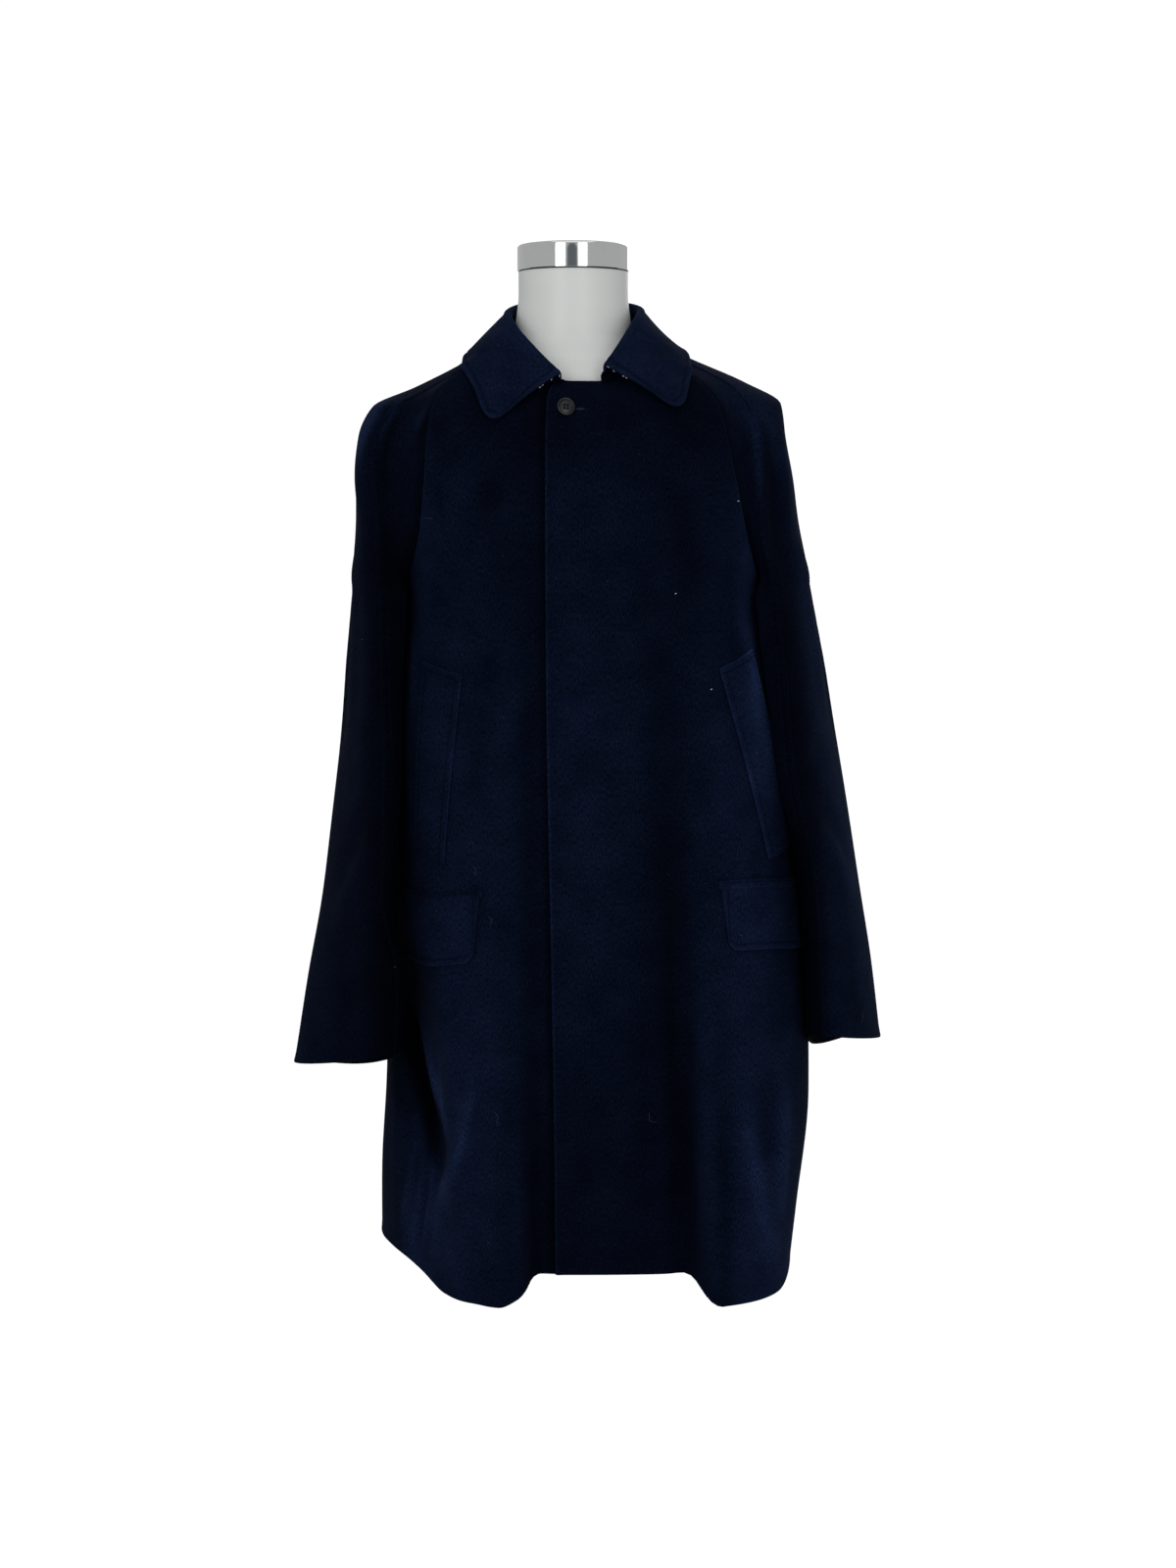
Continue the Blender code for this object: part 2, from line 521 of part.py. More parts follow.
def wall(name, outer, normals, thickness, finish, collection):
    """A closed wall of cloth under a grid of outer points."""
    inner = outer - normals * thickness
    rows, cols = outer.shape[:2]
    index = np.arange(rows * cols).reshape(rows, cols)
    sheet = bmesh.new()
    verts = [sheet.verts.new(point) for point in np.concatenate([outer, inner]).reshape(-1, 3)]
    under = index + rows * cols
    for r in range(rows - 1):
        for c in range(cols - 1):
            sheet.faces.new([verts[i] for i in (index[r, c], index[r, c + 1], index[r + 1, c + 1], index[r + 1, c])])
            sheet.faces.new([verts[i] for i in (under[r + 1, c], under[r + 1, c + 1], under[r, c + 1], under[r, c])])
    rim = list(index[0]) + list(index[1:, -1]) + list(index[-1, -2::-1]) + list(index[-2:0:-1, 0])
    for a, b in zip(rim, rim[1:] + rim[:1]):
        sheet.faces.new([verts[i] for i in (b, a, a + rows * cols, b + rows * cols)])
    bmesh.ops.recalc_face_normals(sheet, faces=sheet.faces)
    bmesh.ops.triangulate(sheet, faces=sheet.faces)
    mesh = bpy.data.meshes.new(name)
    sheet.to_mesh(mesh)
    sheet.free()
    mesh.shade_smooth()
    mesh.set_sharp_from_angle(angle=math.radians(50))
    return add_object(name, mesh, finish, collection)


def pull_back(points, column, rows=slice(None), gap=SEAM_GAP / 2):
    """Moves one edge column of a panel back from its seam, within the panel."""
    beside = 1 if column == 0 else -2
    points[rows, column] += unit(points[rows, beside] - points[rows, column]) * gap


def shared(first, second, ridge):
    """The edge normal of two sewn panels: their mean on a ridge, each one's own in a tight valley."""
    mean = unit(first + second)
    use_mean = 1.0 if ridge else ease((np.sum(first * second, axis=-1, keepdims=True) + 0.7) / 0.5)
    return unit(first + (mean - first) * use_mean), unit(second + (mean - second) * use_mean)


def clear_of_body(points, rises, body):
    """Keeps the sleeve's inner face off the body in the fold below and just above the underarm."""
    for row in np.flatnonzero(rises < 0.16):
        from_seam = np.linalg.norm(points[row] - points[row, -1], axis=-1) - 0.2 * min(0.0, rises[row])
        for column in range(points.shape[1] - (1 if rises[row] > -0.05 else 0)):
            if from_seam[column] < 0.09 or rises[row] < 0:
                wanted = min(UNDERARM_CLEAR, SEAM_GAP + 0.15 * from_seam[column]) * ease((0.2 - rises[row]) / 0.2)
                wanted += POCKET_CLEAR * ease((points[row, column, 2] - POCKETS_Z[0]) / 0.06) * ease((POCKETS_Z[1] - points[row, column, 2]) / 0.06)
                points[row, column] = held_off(points[row, column], body, wanted)


def from_axis(points):
    """Directions straight out from the body's axis."""
    return xyz(points[..., 0], points[..., 1], 0 * points[..., 2])


def build_coat(collection, wool):
    """The body, the sleeves and their seams."""
    level = levels()
    under = SKIRT_ROWS                                  # the row at the underarm
    lap = np.stack([across_at_x(level, x) for x in LAP_X], axis=1)
    shares = np.linspace(0, 1, FRONT_COLS + 1)[1:]
    left_front = front_row(level[:, None], np.hstack([lap, lap[:, -1:] + (1 - lap[:, -1:]) * shares]))
    right_front = front_row(level[:, None], np.hstack([lap[:, ::-1], lap[:, :1] + (-1 - lap[:, :1]) * shares ** 1.3]))
    back = back_row(level[:, None], np.linspace(-1, 1, BACK_COLS + 1))
    panels = {"front_left": left_front, "front_right": right_front, "back": back}
    normals = {name: grid_normals(points, from_axis(points)) for name, points in panels.items()}

    # The right front passes under the left one.
    lapped = ease((right_front[..., 0:1] - (LAP_X[0] - 0.016)) / 0.012)
    right_front -= normals["front_right"] * lapped * (CLOTH + LAP_GAP)

    # The sleeve halves: rows from the cuff to the neckline, columns from the seam over the arm.
    rises = sleeve_rises()
    body = outer_tree([(panels[name], normals[name]) for name in panels])
    for side, wearer in ((RIGHT, "right"), (LEFT, "left")):
        strip = sleeve_half(side, "front", rises, np.linspace(0, 1, STRIP_COLS + 1))
        round_arm = sleeve_half(side, "back", rises, np.linspace(0, 1, ROUND_COLS + 1))
        middle = round_arm.mean(axis=1, keepdims=True)
        for face, points in (("front", strip), ("back", round_arm)):
            clear_of_body(points, rises, body)
            panels[f"sleeve_{wearer}_{face}"] = points
            normals[f"sleeve_{wearer}_{face}"] = grid_normals(points, points - middle)

    # Seams: the two panels on each one share their edge's normals, and lie a gap apart.
    below, above = slice(0, under + 1), slice(under, None)
    tube, cap = slice(0, TUBE_ROWS + 1), slice(TUBE_ROWS, None)
    for wearer, back_column in (("right", 0), ("left", -1)):
        front, halves = f"front_{wearer}", [f"sleeve_{wearer}_{face}" for face in ("front", "back")]
        seams = [
            (front, -1, below, "back", back_column, below),
            (front, -1, above, halves[0], -1, cap),
            ("back", back_column, above, halves[1], -1, cap),
            (halves[0], -1, tube, halves[1], -1, tube),
            (halves[0], 0, slice(None), halves[1], 0, slice(None)),
        ]
        for one, one_column, one_rows, other, other_column, other_rows in seams:
            ridge = one_column == other_column == 0
            a, b = shared(normals[one][one_rows, one_column], normals[other][other_rows, other_column], ridge)
            normals[one][one_rows, one_column], normals[other][other_rows, other_column] = a, b
        pull_back(panels[front], -1)
        pull_back(panels["back"], back_column)
        for half in halves:
            pull_back(panels[half], -1)
            pull_back(panels[half], 0)
    for name, points in panels.items():
        wall(name, points, normals[name], CLOTH, wool, collection)
    return outer_tree([(panels[name], normals[name]) for name in panels])


# ---- Collar --------------------------------------------------------------------------------
def neckline(side):
    """One side's neckline from the centre back to the centre front, and its direction there."""
    share = np.linspace(0, 1, 21)
    ring = np.concatenate([
        back_row(2.0, side * share),
        sleeve_half(side, "back", [0.96, 1.0], share)[1, ::-1],
        sleeve_half(side, "front", [0.96, 1.0], share)[1],
        front_row(2.0, side * share[::-1]),
    ])
    return ring, np.abs(np.arctan2(ring[:, 0], ring[:, 1]))


def collar_spoke(side, along):
    """Roll point, free edge point and bow of the fall at one place along the collar."""
    rows = COLLAR[side]
    roll = xyz(*(through(rows["along"], rows[f"roll_{axis}"], along) for axis in "xyz"))
    edge = xyz(*(through(rows["along"], rows[f"edge_{axis}"], along) for axis in "xyz"))
    return roll, edge, through(rows["along"], rows["bow"], along)


def build_collar(collection, wool, coat):
    """The stand that rises from the neckline, and the fall that rolls over it."""
    up = np.array([0, 0, 1.0])
    corner_length, corner_width = COLLAR_CORNER
    necklines = {side: neckline(side) for side in (RIGHT, LEFT)}
    profiles, rolls = [], []
    for place in [-step for step in COLLAR_STEPS[:0:-1]] + list(COLLAR_STEPS):
        side = LEFT if place > 0 else RIGHT
        share = abs(place)
        roll, edge, bow = collar_spoke(side, share)
        outward = unit(np.array([edge[0] - roll[0], edge[1] - roll[1], 0.0]))
        past = max(0.0, (share - (1 - corner_length)) / corner_length)
        full = 1 - corner_width * (1 - math.sqrt(max(0.0, 1 - past * past)))
        ring, direction = necklines[side]
        foot = np.array([np.interp(math.atan2(abs(roll[0]), roll[1]), direction, ring[:, axis]) for axis in range(3)])
        foot += up * (0.0016 + 0.0022 * ease((share - 0.5) / 0.3)) - outward * 0.0012
        radius = ROLL_RADIUS - (ROLL_RADIUS - ROLL_END_RADIUS) * ease((share - 0.7) / 0.3)
        head = roll - outward * radius - up * radius
        turn = [roll - outward * radius * math.cos(a) + up * radius * math.sin(a)
                for a in (0, math.pi / 3, 2 * math.pi / 3, math.pi)]
        falls = []
        for step in range(1, COLLAR_ROWS + 1):
            t = step / COLLAR_ROWS * full
            falls.append(turn[-1] + (edge - turn[-1]) * t + (outward + up) * 0.7 * bow * math.sin(math.pi * t))
        profiles.append([foot, (foot + head) / 2, head, *turn, *falls])
        rolls.append(roll)
    profiles, rolls = np.array(profiles), np.array(rolls)
    for row in range(7, profiles.shape[1]):
        for column in range(len(profiles)):
            profiles[column, row] = held_off(profiles[column, row], coat, COLLAR_CLOTH + COLLAR_CLEAR)
    middle = profiles[:, 2:3].mean(axis=0, keepdims=True)
    normals = grid_normals(profiles, (profiles - middle) * (np.arange(profiles.shape[1]) > 7)[None, :, None])
    normals[:, 3:7] = unit(profiles[:, 3:7] - rolls[:, None])
    stand, fall = profiles[:, :3].copy(), profiles[:, 2:].copy()
    stand[:, -1] += unit(stand[:, -2] - stand[:, -1]) * SEAM_GAP / 2
    fall[:, 0] += unit(fall[:, 1] - fall[:, 0]) * SEAM_GAP / 2
    wall("collar_stand", stand, normals[:, :3], COLLAR_CLOTH, wool, collection)
    wall("collar_fall", fall, normals[:, 2:], COLLAR_CLOTH, wool, collection)


def held_off(point, coat, distance):
    """The point, moved out from the coat if it lies too near its outer face."""
    near, normal, _, _ = coat.find_nearest(point)
    short = distance - (Vector(point) - near).dot(normal)
    return np.array(Vector(point) + normal * max(0.0, short))


def outer_tree(grids):
    """A search tree over the coat's outer faces, with normals outward."""
    points, faces = [], []
    for grid, normals in grids:
        rows, cols = grid.shape[:2]
        index = np.arange(rows * cols).reshape(rows, cols) + len(points)
        first = np.cross(grid[1, 0] - grid[0, 0], grid[0, 1] - grid[0, 0]) @ normals[0, 0] < 0
        for r in range(rows - 1):
            for c in range(cols - 1):
                quad = (index[r, c], index[r + 1, c], index[r + 1, c + 1], index[r, c + 1])
                faces.append(quad[::-1] if first else quad)
        points.extend(grid.reshape(-1, 3))
    return BVHTree.FromPolygons(points, faces)


# ---- Pockets and button --------------------------------------------------------------------
def on_front(side, distance, height, lift):
    """Points over the front, a distance round from the centre front, lifted off the cloth."""
    level = (height - 0.016) / (UNDERARM_Z - 0.016)
    tries = np.linspace(0, 1, 81)
    shares = np.empty_like(distance)
    for i in np.ndindex(distance.shape):
        plain = half_row(side, level[i], tries, True)
        run = np.concatenate([[0], np.cumsum(np.linalg.norm(np.diff(plain, axis=0)[:, :2], axis=-1))])
        shares[i] = np.interp(distance[i], run, tries)
    step = 0.004
    here = front_row(level, side * shares)
    along = front_row(level, side * (shares + step)) - front_row(level, side * (shares - step))
    rise = front_row(level + step, side * shares) - front_row(level - step, side * shares)
    normals = unit(np.cross(along, rise)) * side
    return here + normals * lift, normals


def patch(name, side, distance, height, lift, collection, wool):
    """A piece that lies on a front."""
    points, normals = on_front(side, distance, height, lift + FLAP_CLOTH)
    wall(name, points, normals, FLAP_CLOTH, wool, collection)


def build_pockets(side, wearer, collection, wool):
    """The upright welt, and the lower pocket's jet and flap."""
    corners = {name: np.array(place) for name, place in WELT[side].items()}
    rows, cols = np.meshgrid(np.linspace(0, 1, 9), np.linspace(0, 1, 7), indexing="ij")
    low = corners["low_in"] + (corners["low_out"] - corners["low_in"]) * cols[..., None]
    top = corners["top_in"] + (corners["top_out"] - corners["top_in"]) * cols[..., None]
    place = low + (top - low) * rows[..., None]
    patch(f"welt_{wearer}", side, place[..., 0], place[..., 1], PATCH_GAP, collection, wool)

    flap = FLAP[side]
    width = flap["outer"] - flap["inner"]
    rows, cols = np.meshgrid(np.linspace(0, 1, 7), FLAP_COLUMNS, indexing="ij")
    corner = np.clip(1 - cols * width / FLAP_CORNER, 0, 1)
    drop = flap["drop"] - FLAP_CORNER * (1 - np.sqrt(1 - corner ** 2))
    top = flap["top"] - flap["dip"] * cols ** 2
    patch(f"flap_{wearer}", side, flap["inner"] + cols * width + 0.006 * rows * (1 - cols),
          top - JET_HEIGHT - SEAM_GAP - (drop - JET_HEIGHT) * rows, PATCH_GAP, collection, wool)
    rows, cols = np.meshgrid(np.linspace(0, 1, 2), np.linspace(0, 1, 15), indexing="ij")
    patch(f"jet_{wearer}", side, flap["inner"] - JET_OVERHANG + cols * (width + 2 * JET_OVERHANG),
          flap["top"] - flap["dip"] * cols ** 2 - JET_HEIGHT * rows, PATCH_GAP, collection, wool)


def turned(name, profile, sides, finish, collection):
    """A solid of revolution about its own Z, from (radius, height) points down its outer side."""
    sheet = bmesh.new()
    verts = [sheet.verts.new((radius, 0, height)) for radius, height in profile]
    for a, b in zip(verts, verts[1:]):
        sheet.edges.new((a, b))
    mesh = bpy.data.meshes.new(name)
    sheet.to_mesh(mesh)
    sheet.free()
    node = add_object(name, mesh, finish, collection)
    screw = node.modifiers.new("turn", "SCREW")
    screw.axis = "Z"
    screw.steps = screw.render_steps = sides
    screw.use_merge_vertices = True
    screw.merge_threshold = 0.00001
    screw.use_smooth_shade = True
    return node


def build_button(collection, horn):
    """A four-hole button with a raised rim, on the left front at the neck."""
    radius, thick = BUTTON_RADIUS, BUTTON_THICK
    node = turned("button", [(0, thick * 0.72), (radius * 0.66, thick * 0.72), (radius * 0.78, thick), (radius * 0.93, thick),
                             (radius, thick * 0.72), (radius * 0.98, thick * 0.3), (radius * 0.86, 0), (0, 0)], 28, horn, collection)
    cutters = bpy.data.collections.new("cutters")
    bpy.context.scene.collection.children.link(cutters)
    hole_radius, spacing = 0.0010, 0.0019
    for i, (x, y) in enumerate(((-1, -1), (-1, 1), (1, -1), (1, 1))):
        cut = bmesh.new()
        bmesh.ops.create_cone(cut, cap_ends=True, segments=8, radius1=hole_radius, radius2=hole_radius, depth=thick * 3)
        mesh = bpy.data.meshes.new(f"button_hole_{i}")
        cut.to_mesh(mesh)
        cut.free()
        cutter = bpy.data.objects.new(f"button_hole_{i}", mesh)
        cutters.objects.link(cutter)
        cutter.parent = node
        cutter.location = (x * spacing, y * spacing, thick / 2)
        cutter.hide_render = True
        cutter.display_type = "WIRE"
        hole = node.modifiers.new(f"hole_{i}", "BOOLEAN")
        hole.operation = "DIFFERENCE"
        hole.object = cutter
    level = 1 + np.interp(BUTTON_Z, YOKE["front_z"], YOKE["rise"])
    here = front_row(level, across_at_x([level], BUTTON_X)[0])
    lean = front_row(level + 0.04, 0.0) - front_row(level - 0.04, 0.0)
    pitch = math.atan2(lean[1], lean[2])
    node.rotation_euler = (math.pi / 2 - pitch, 0, 0)
    out = np.array([0, -math.cos(pitch), math.sin(pitch)])
    node.location = here + out * 0.0004


# ---- Dress form ----------------------------------------------------------------------------
def build_form(collection, plastic, chrome, painted):
    """A plain torso with a neck and a chrome cap, on a short post and an oval base."""
    z = np.concatenate([[FORM["z"][0]], np.linspace(FORM["z"][0], 0.88, 9)[1:], FORM["z"][7:]])
    angle = np.linspace(0, 2 * math.pi, FORM_SIDES, endpoint=False)
    sheet = bmesh.new()
    rings = []
    for height in z:
        half_x, half_y, centre, power = (float(through(FORM["z"], FORM[n], height))
                                         for n in ("half_x", "half_y", "y", "round"))
        ring = []
        for a in angle:
            x = math.copysign(abs(math.cos(a)) ** (2 / power), math.cos(a)) * half_x
            y = math.copysign(abs(math.sin(a)) ** (2 / power), math.sin(a)) * half_y + centre
            ring.append(sheet.verts.new((x, y, height)))
        rings.append(ring)
    for lower, upper in zip(rings, rings[1:]):
        for i in range(FORM_SIDES):
            j = (i + 1) % FORM_SIDES
            sheet.faces.new((lower[i], lower[j], upper[j], upper[i]))
    sheet.faces.new(rings[0][::-1])
    sheet.faces.new(rings[-1])
    mesh = bpy.data.meshes.new("form_torso")
    sheet.to_mesh(mesh)
    sheet.free()
    mesh.shade_smooth()
    mesh.set_sharp_from_angle(angle=math.radians(40))
    add_object("form_torso", mesh, plastic, collection)
    edge = 0.0035
    cap_height = CAP_TOP - CAP_BOTTOM
    cap = turned("form_cap", [(0, cap_height), (CAP_RADIUS - edge, cap_height), (CAP_RADIUS - 0.3 * edge, cap_height - 0.3 * edge),
                              (CAP_RADIUS, cap_height - edge), (CAP_RADIUS, 0), (0, 0)], 40, chrome, collection)
    cap.location = (0, 0, CAP_BOTTOM)
    post_top = FORM["z"][0] - 0.0003
    post = turned("form_post", [(0, post_top), (POST_RADIUS, post_top), (POST_RADIUS, BASE_THICK + 0.0003), (0, BASE_THICK + 0.0003)],
                  20, chrome, collection)
    post.location = (0, 0, 0)
    base = turned("form_base", [(0, BASE_THICK), (BASE_HALF_X - 0.004, BASE_THICK), (BASE_HALF_X, BASE_THICK - 0.003),
                                (BASE_HALF_X, 0), (0, 0)], 48, painted, collection)
    base.location = (0, BASE_Y, 0)
    base.scale = (1, BASE_HALF_Y / BASE_HALF_X, 1)


def main():
    """Clears the scene and builds the coat on its form."""
    for old in list(bpy.data.objects):
        bpy.data.objects.remove(old, do_unlink=True)
    parts = bpy.data.collections.new("wool_overcoat")
    bpy.context.scene.collection.children.link(parts)
    wool = material("wool", NAVY, 0.95)
    plastic = material("white_plastic", WHITE_PLASTIC, 0.30)
    chrome = material("chrome", CHROME, 0.12, metallic=1.0)
    painted = material("white_paint", WHITE_PLASTIC, 0.40)
    horn = material("horn", BLACK_HORN, 0.25)
    coat = build_coat(parts, wool)
    build_collar(parts, wool, coat)
    for side, wearer in ((RIGHT, "right"), (LEFT, "left")):
        build_pockets(side, wearer, parts, wool)
    build_button(parts, horn)
    build_form(parts, plastic, chrome, painted)


main()
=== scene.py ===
# %% [markdown]
# # A navy wool overcoat on a dress form
# The coat is a men's raglan overcoat in heavy navy wool. It has a rounded collar, a concealed
# button front with one button showing at the neck, two slanted welt pockets and two flap pockets.
# It hangs on a white torso form with a chrome neck cap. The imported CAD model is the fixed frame:
# every piece of cloth below follows one of its solids, on a much finer grid, and adds what a solid
# can't carry, which is turned edges, seams, creases, stitches and the nap of the wool.

# %% Frame and sizes
import math

import bmesh
import bpy
import numpy as np
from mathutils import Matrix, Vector
from mathutils.bvhtree import BVHTree


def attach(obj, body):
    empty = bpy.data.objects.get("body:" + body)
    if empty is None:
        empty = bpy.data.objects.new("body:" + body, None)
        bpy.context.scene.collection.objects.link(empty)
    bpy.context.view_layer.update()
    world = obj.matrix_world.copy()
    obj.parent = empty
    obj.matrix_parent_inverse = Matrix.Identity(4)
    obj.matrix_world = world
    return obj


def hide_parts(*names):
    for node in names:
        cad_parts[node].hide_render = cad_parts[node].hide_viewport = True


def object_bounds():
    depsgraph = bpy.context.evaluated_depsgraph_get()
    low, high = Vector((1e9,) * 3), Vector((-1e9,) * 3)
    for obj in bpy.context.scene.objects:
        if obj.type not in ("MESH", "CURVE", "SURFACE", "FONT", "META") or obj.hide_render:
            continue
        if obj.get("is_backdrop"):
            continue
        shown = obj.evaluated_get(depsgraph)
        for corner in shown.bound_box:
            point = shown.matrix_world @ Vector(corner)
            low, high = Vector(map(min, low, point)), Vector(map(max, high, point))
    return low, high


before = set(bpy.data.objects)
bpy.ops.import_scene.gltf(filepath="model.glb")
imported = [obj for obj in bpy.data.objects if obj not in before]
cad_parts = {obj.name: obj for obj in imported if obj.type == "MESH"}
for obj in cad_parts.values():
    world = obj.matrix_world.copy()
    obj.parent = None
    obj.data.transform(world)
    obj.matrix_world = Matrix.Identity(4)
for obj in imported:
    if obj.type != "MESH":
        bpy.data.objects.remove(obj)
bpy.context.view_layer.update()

RIGHT, LEFT = -1, 1                 # the wearer's sides: -X and +X
CLOTH = 0.0024                      # wall of one panel of lined coat cloth
FLAP_CLOTH = COLLAR_CLOTH = 0.0028  # doubled pieces are a little thicker
SEAM_GAP = 0.0004                   # between two sewn edges
PATCH_GAP = 0.0008                  # under a welt, a flap or a jet
LAP_GAP = 0.0010                    # between the two lapped fronts
UNDERARM_CLEAR = 0.0035             # between a sleeve and the body, away from the seam
POCKET_CLEAR = 0.0040               # and how much more where the pockets lie between them
POCKETS_Z = (0.320, 0.760)
UNDERARM_Z = 0.785
HEM_Z, HEM_BACK_Z = 0.012, 0.022    # the hem's height at the front and at the back
HEM_RAISE = 0.0205                  # the hem is higher in the hollow middle of the front
NECK_LEVEL = 0.24                   # share of the front's top edge that runs level from the centre
FLY_CORNER = (0.014, 0.020)         # width and height of the left front's rounded corner at the neck
LAP_END_X = 0.0320                  # where the right front ends, under the left one
CELL = 0.005                        # size of a cell of cloth away from its edges

# %% [markdown]
# ## Drawing smooth shapes from short tables
# A pattern cutter describes a coat by a few measured rows. Here each row of a table is such a
# measurement, and a monotone cubic curve runs through the rows without overshooting them, so a
# waist can't bulge between two narrow rows. Plain linear steps would show as horizontal ridges, and
# a spline that overshoots would add folds that nobody drew.


# %% Curves
def table(names, *rows):
    """Named columns, each an array with one value for each row."""
    return dict(zip(names.split(), np.array(rows, float).T))


def through(knots, values, at):
    """A smooth curve through the knots that doesn't overshoot them (monotone cubic)."""
    knots, values = np.asarray(knots, float), np.asarray(values, float)
    at = np.clip(np.asarray(at, float), knots[0], knots[-1])
    step = np.diff(knots)
    slope = np.diff(values) / step
    tangent = np.zeros_like(values)
    before, after = 2 * step[1:] + step[:-1], step[1:] + 2 * step[:-1]
    same_way = slope[:-1] * slope[1:] > 0
    safe = np.where(same_way, slope[:-1], 1.0), np.where(same_way, slope[1:], 1.0)
    mean = (before + after) / (before / safe[0] + after / safe[1])
    tangent[1:-1] = np.where(same_way, mean, 0.0)
    tangent[0], tangent[-1] = slope[0], slope[-1]
    i = np.clip(np.searchsorted(knots, at, side="right") - 1, 0, len(step) - 1)
    t = (at - knots[i]) / step[i]
    return ((1 + 2 * t) * (1 - t) ** 2 * values[i] + t * (1 - t) ** 2 * step[i] * tangent[i]
            + t * t * (3 - 2 * t) * values[i + 1] + t * t * (t - 1) * step[i] * tangent[i + 1])


def read(rows, name, at):
    """A column of a table, as a smooth curve over the table's first column."""
    return through(next(iter(rows.values())), rows[name], at)


def ease(t):
    """0 below 0, 1 above 1, and smooth between."""
    t = np.clip(t, 0.0, 1.0)
    return t * t * (3 - 2 * t)


def swell(offset, half_width):
    """A soft bump, 1 in the middle and 0 from half_width away."""
    return 0.5 + 0.5 * np.cos(math.pi * np.clip(np.abs(offset) / half_width, 0, 1))


def fade(at, low, peak, high):
    """Rises from low to peak and dies away at high."""
    return np.where(at < peak, ease((at - low) / (peak - low)), ease((high - at) / (high - peak)))


def bezier(points, t):
    """The cubic through four control points, each with its last axis x, y, z."""
    t = np.asarray(t, float)[..., None]
    return sum(weight * point for weight, point in
               zip(((1 - t) ** 3, 3 * t * (1 - t) ** 2, 3 * t * t * (1 - t), t ** 3), points))


# %% Points and directions
def xyz(x, y, z):
    """Coordinates joined into points."""
    return np.stack(np.broadcast_arrays(x, y, z), axis=-1).astype(float)


def unit(vectors):
    """The same directions, with length 1."""
    return vectors / np.maximum(np.linalg.norm(vectors, axis=-1, keepdims=True), 1e-12)


def grid_normals(points, outward):
    """The surface's normals, turned to the same side as the outward vectors."""
    normals = unit(np.cross(np.gradient(points, axis=0), np.gradient(points, axis=1)))
    return normals * (1 if np.sum(normals * outward) > 0 else -1)


def run_along(points, axis):
    """How far each point lies along its row (axis 1) or column (axis 0), in metres."""
    steps = np.linalg.norm(np.diff(points, axis=axis), axis=-1)
    pad = [(1, 0) if k == axis else (0, 0) for k in range(2)]
    return np.pad(np.cumsum(steps, axis=axis), pad)


# %% [markdown]
# ## The body of the coat
# On the real coat the body is three panels: a back and two fronts. Each of them is a grid whose
# rows run round the body. A cubic curve goes from the centre of the panel to its side seam, and two
# more tables push the cloth into the long folds in which it hangs. A cloth simulation could find
# such folds too, but not these particular ones, so they are listed one by one.

# %% Measurements of the body
SKIRT = table(
    "z      front_y  back_y  right_x  right_y  right_square  left_x  left_y  left_square",
    (0.000, -0.169,  0.168,  -0.2195,  0.036,   0.62,        0.250,   0.020,  0.87),
    (0.080, -0.170,  0.167,  -0.2185,  0.034,   0.62,        0.258,   0.020,  0.87),
    (0.200, -0.171,  0.163,  -0.2130,  0.030,   0.62,        0.270,   0.018,  0.82),
    (0.320, -0.172,  0.158,  -0.2110,  0.026,   0.62,        0.268,   0.016,  0.76),
    (0.460, -0.172,  0.152,  -0.2080,  0.020,   0.62,        0.256,   0.012,  0.70),
    (0.600, -0.171,  0.146,  -0.2010,  0.012,   0.66,        0.234,   0.008,  0.68),
    (0.700, -0.170,  0.143,  -0.1925,  0.006,   0.62,        0.216,   0.004,  0.60),
    (0.785, -0.167,  0.141,  -0.1836,  0.000,   0.56,        0.204,   0.000,  0.54),
)
YOKE = table(
    "rise   front_y  front_z  back_y  back_z",
    (0.00,  -0.167,  0.785,   0.141,  0.785),
    (0.30,  -0.164,  0.850,   0.141,  0.860),
    (0.50,  -0.157,  0.900,   0.139,  0.920),
    (0.70,  -0.143,  0.945,   0.132,  0.975),
    (0.85,  -0.123,  0.980,   0.116,  1.022),
    (1.00,  -0.093,  1.014,   0.078,  1.076),
)

# %% Measurements of the raglan seams and shoulder caps
RAGLAN = table(
    "rise   front_x front_y front_z  over_x  over_y  over_z  back_x  back_y  back_z",
    (0.00,  0.2040,  0.000, 0.785,   0.2175, -0.104, 0.785,  0.2040, 0.000,  0.785),
    (0.12,  0.2005, -0.050, 0.802,   0.2090, -0.107, 0.812,  0.2010, 0.052,  0.806),
    (0.30,  0.1860, -0.102, 0.850,   0.1990, -0.112, 0.858,  0.1900, 0.100,  0.855),
    (0.50,  0.1740, -0.121, 0.903,   0.1965, -0.112, 0.908,  0.1760, 0.119,  0.910),
    (0.70,  0.1640, -0.119, 0.950,   0.1955, -0.098, 0.955,  0.1600, 0.117,  0.962),
    (0.82,  0.1560, -0.103, 0.985,   0.1870, -0.078, 0.988,  0.1410, 0.106,  1.003),
    (0.90,  0.1400, -0.085, 1.010,   0.1680, -0.056, 1.011,  0.1190, 0.093,  1.030),
    (0.96,  0.1110, -0.066, 1.031,   0.1270, -0.031, 1.034,  0.0900, 0.075,  1.054),
    (1.00,  0.0800, -0.047, 1.046,   0.0840, -0.010, 1.056,  0.0620, 0.056,  1.072),
)
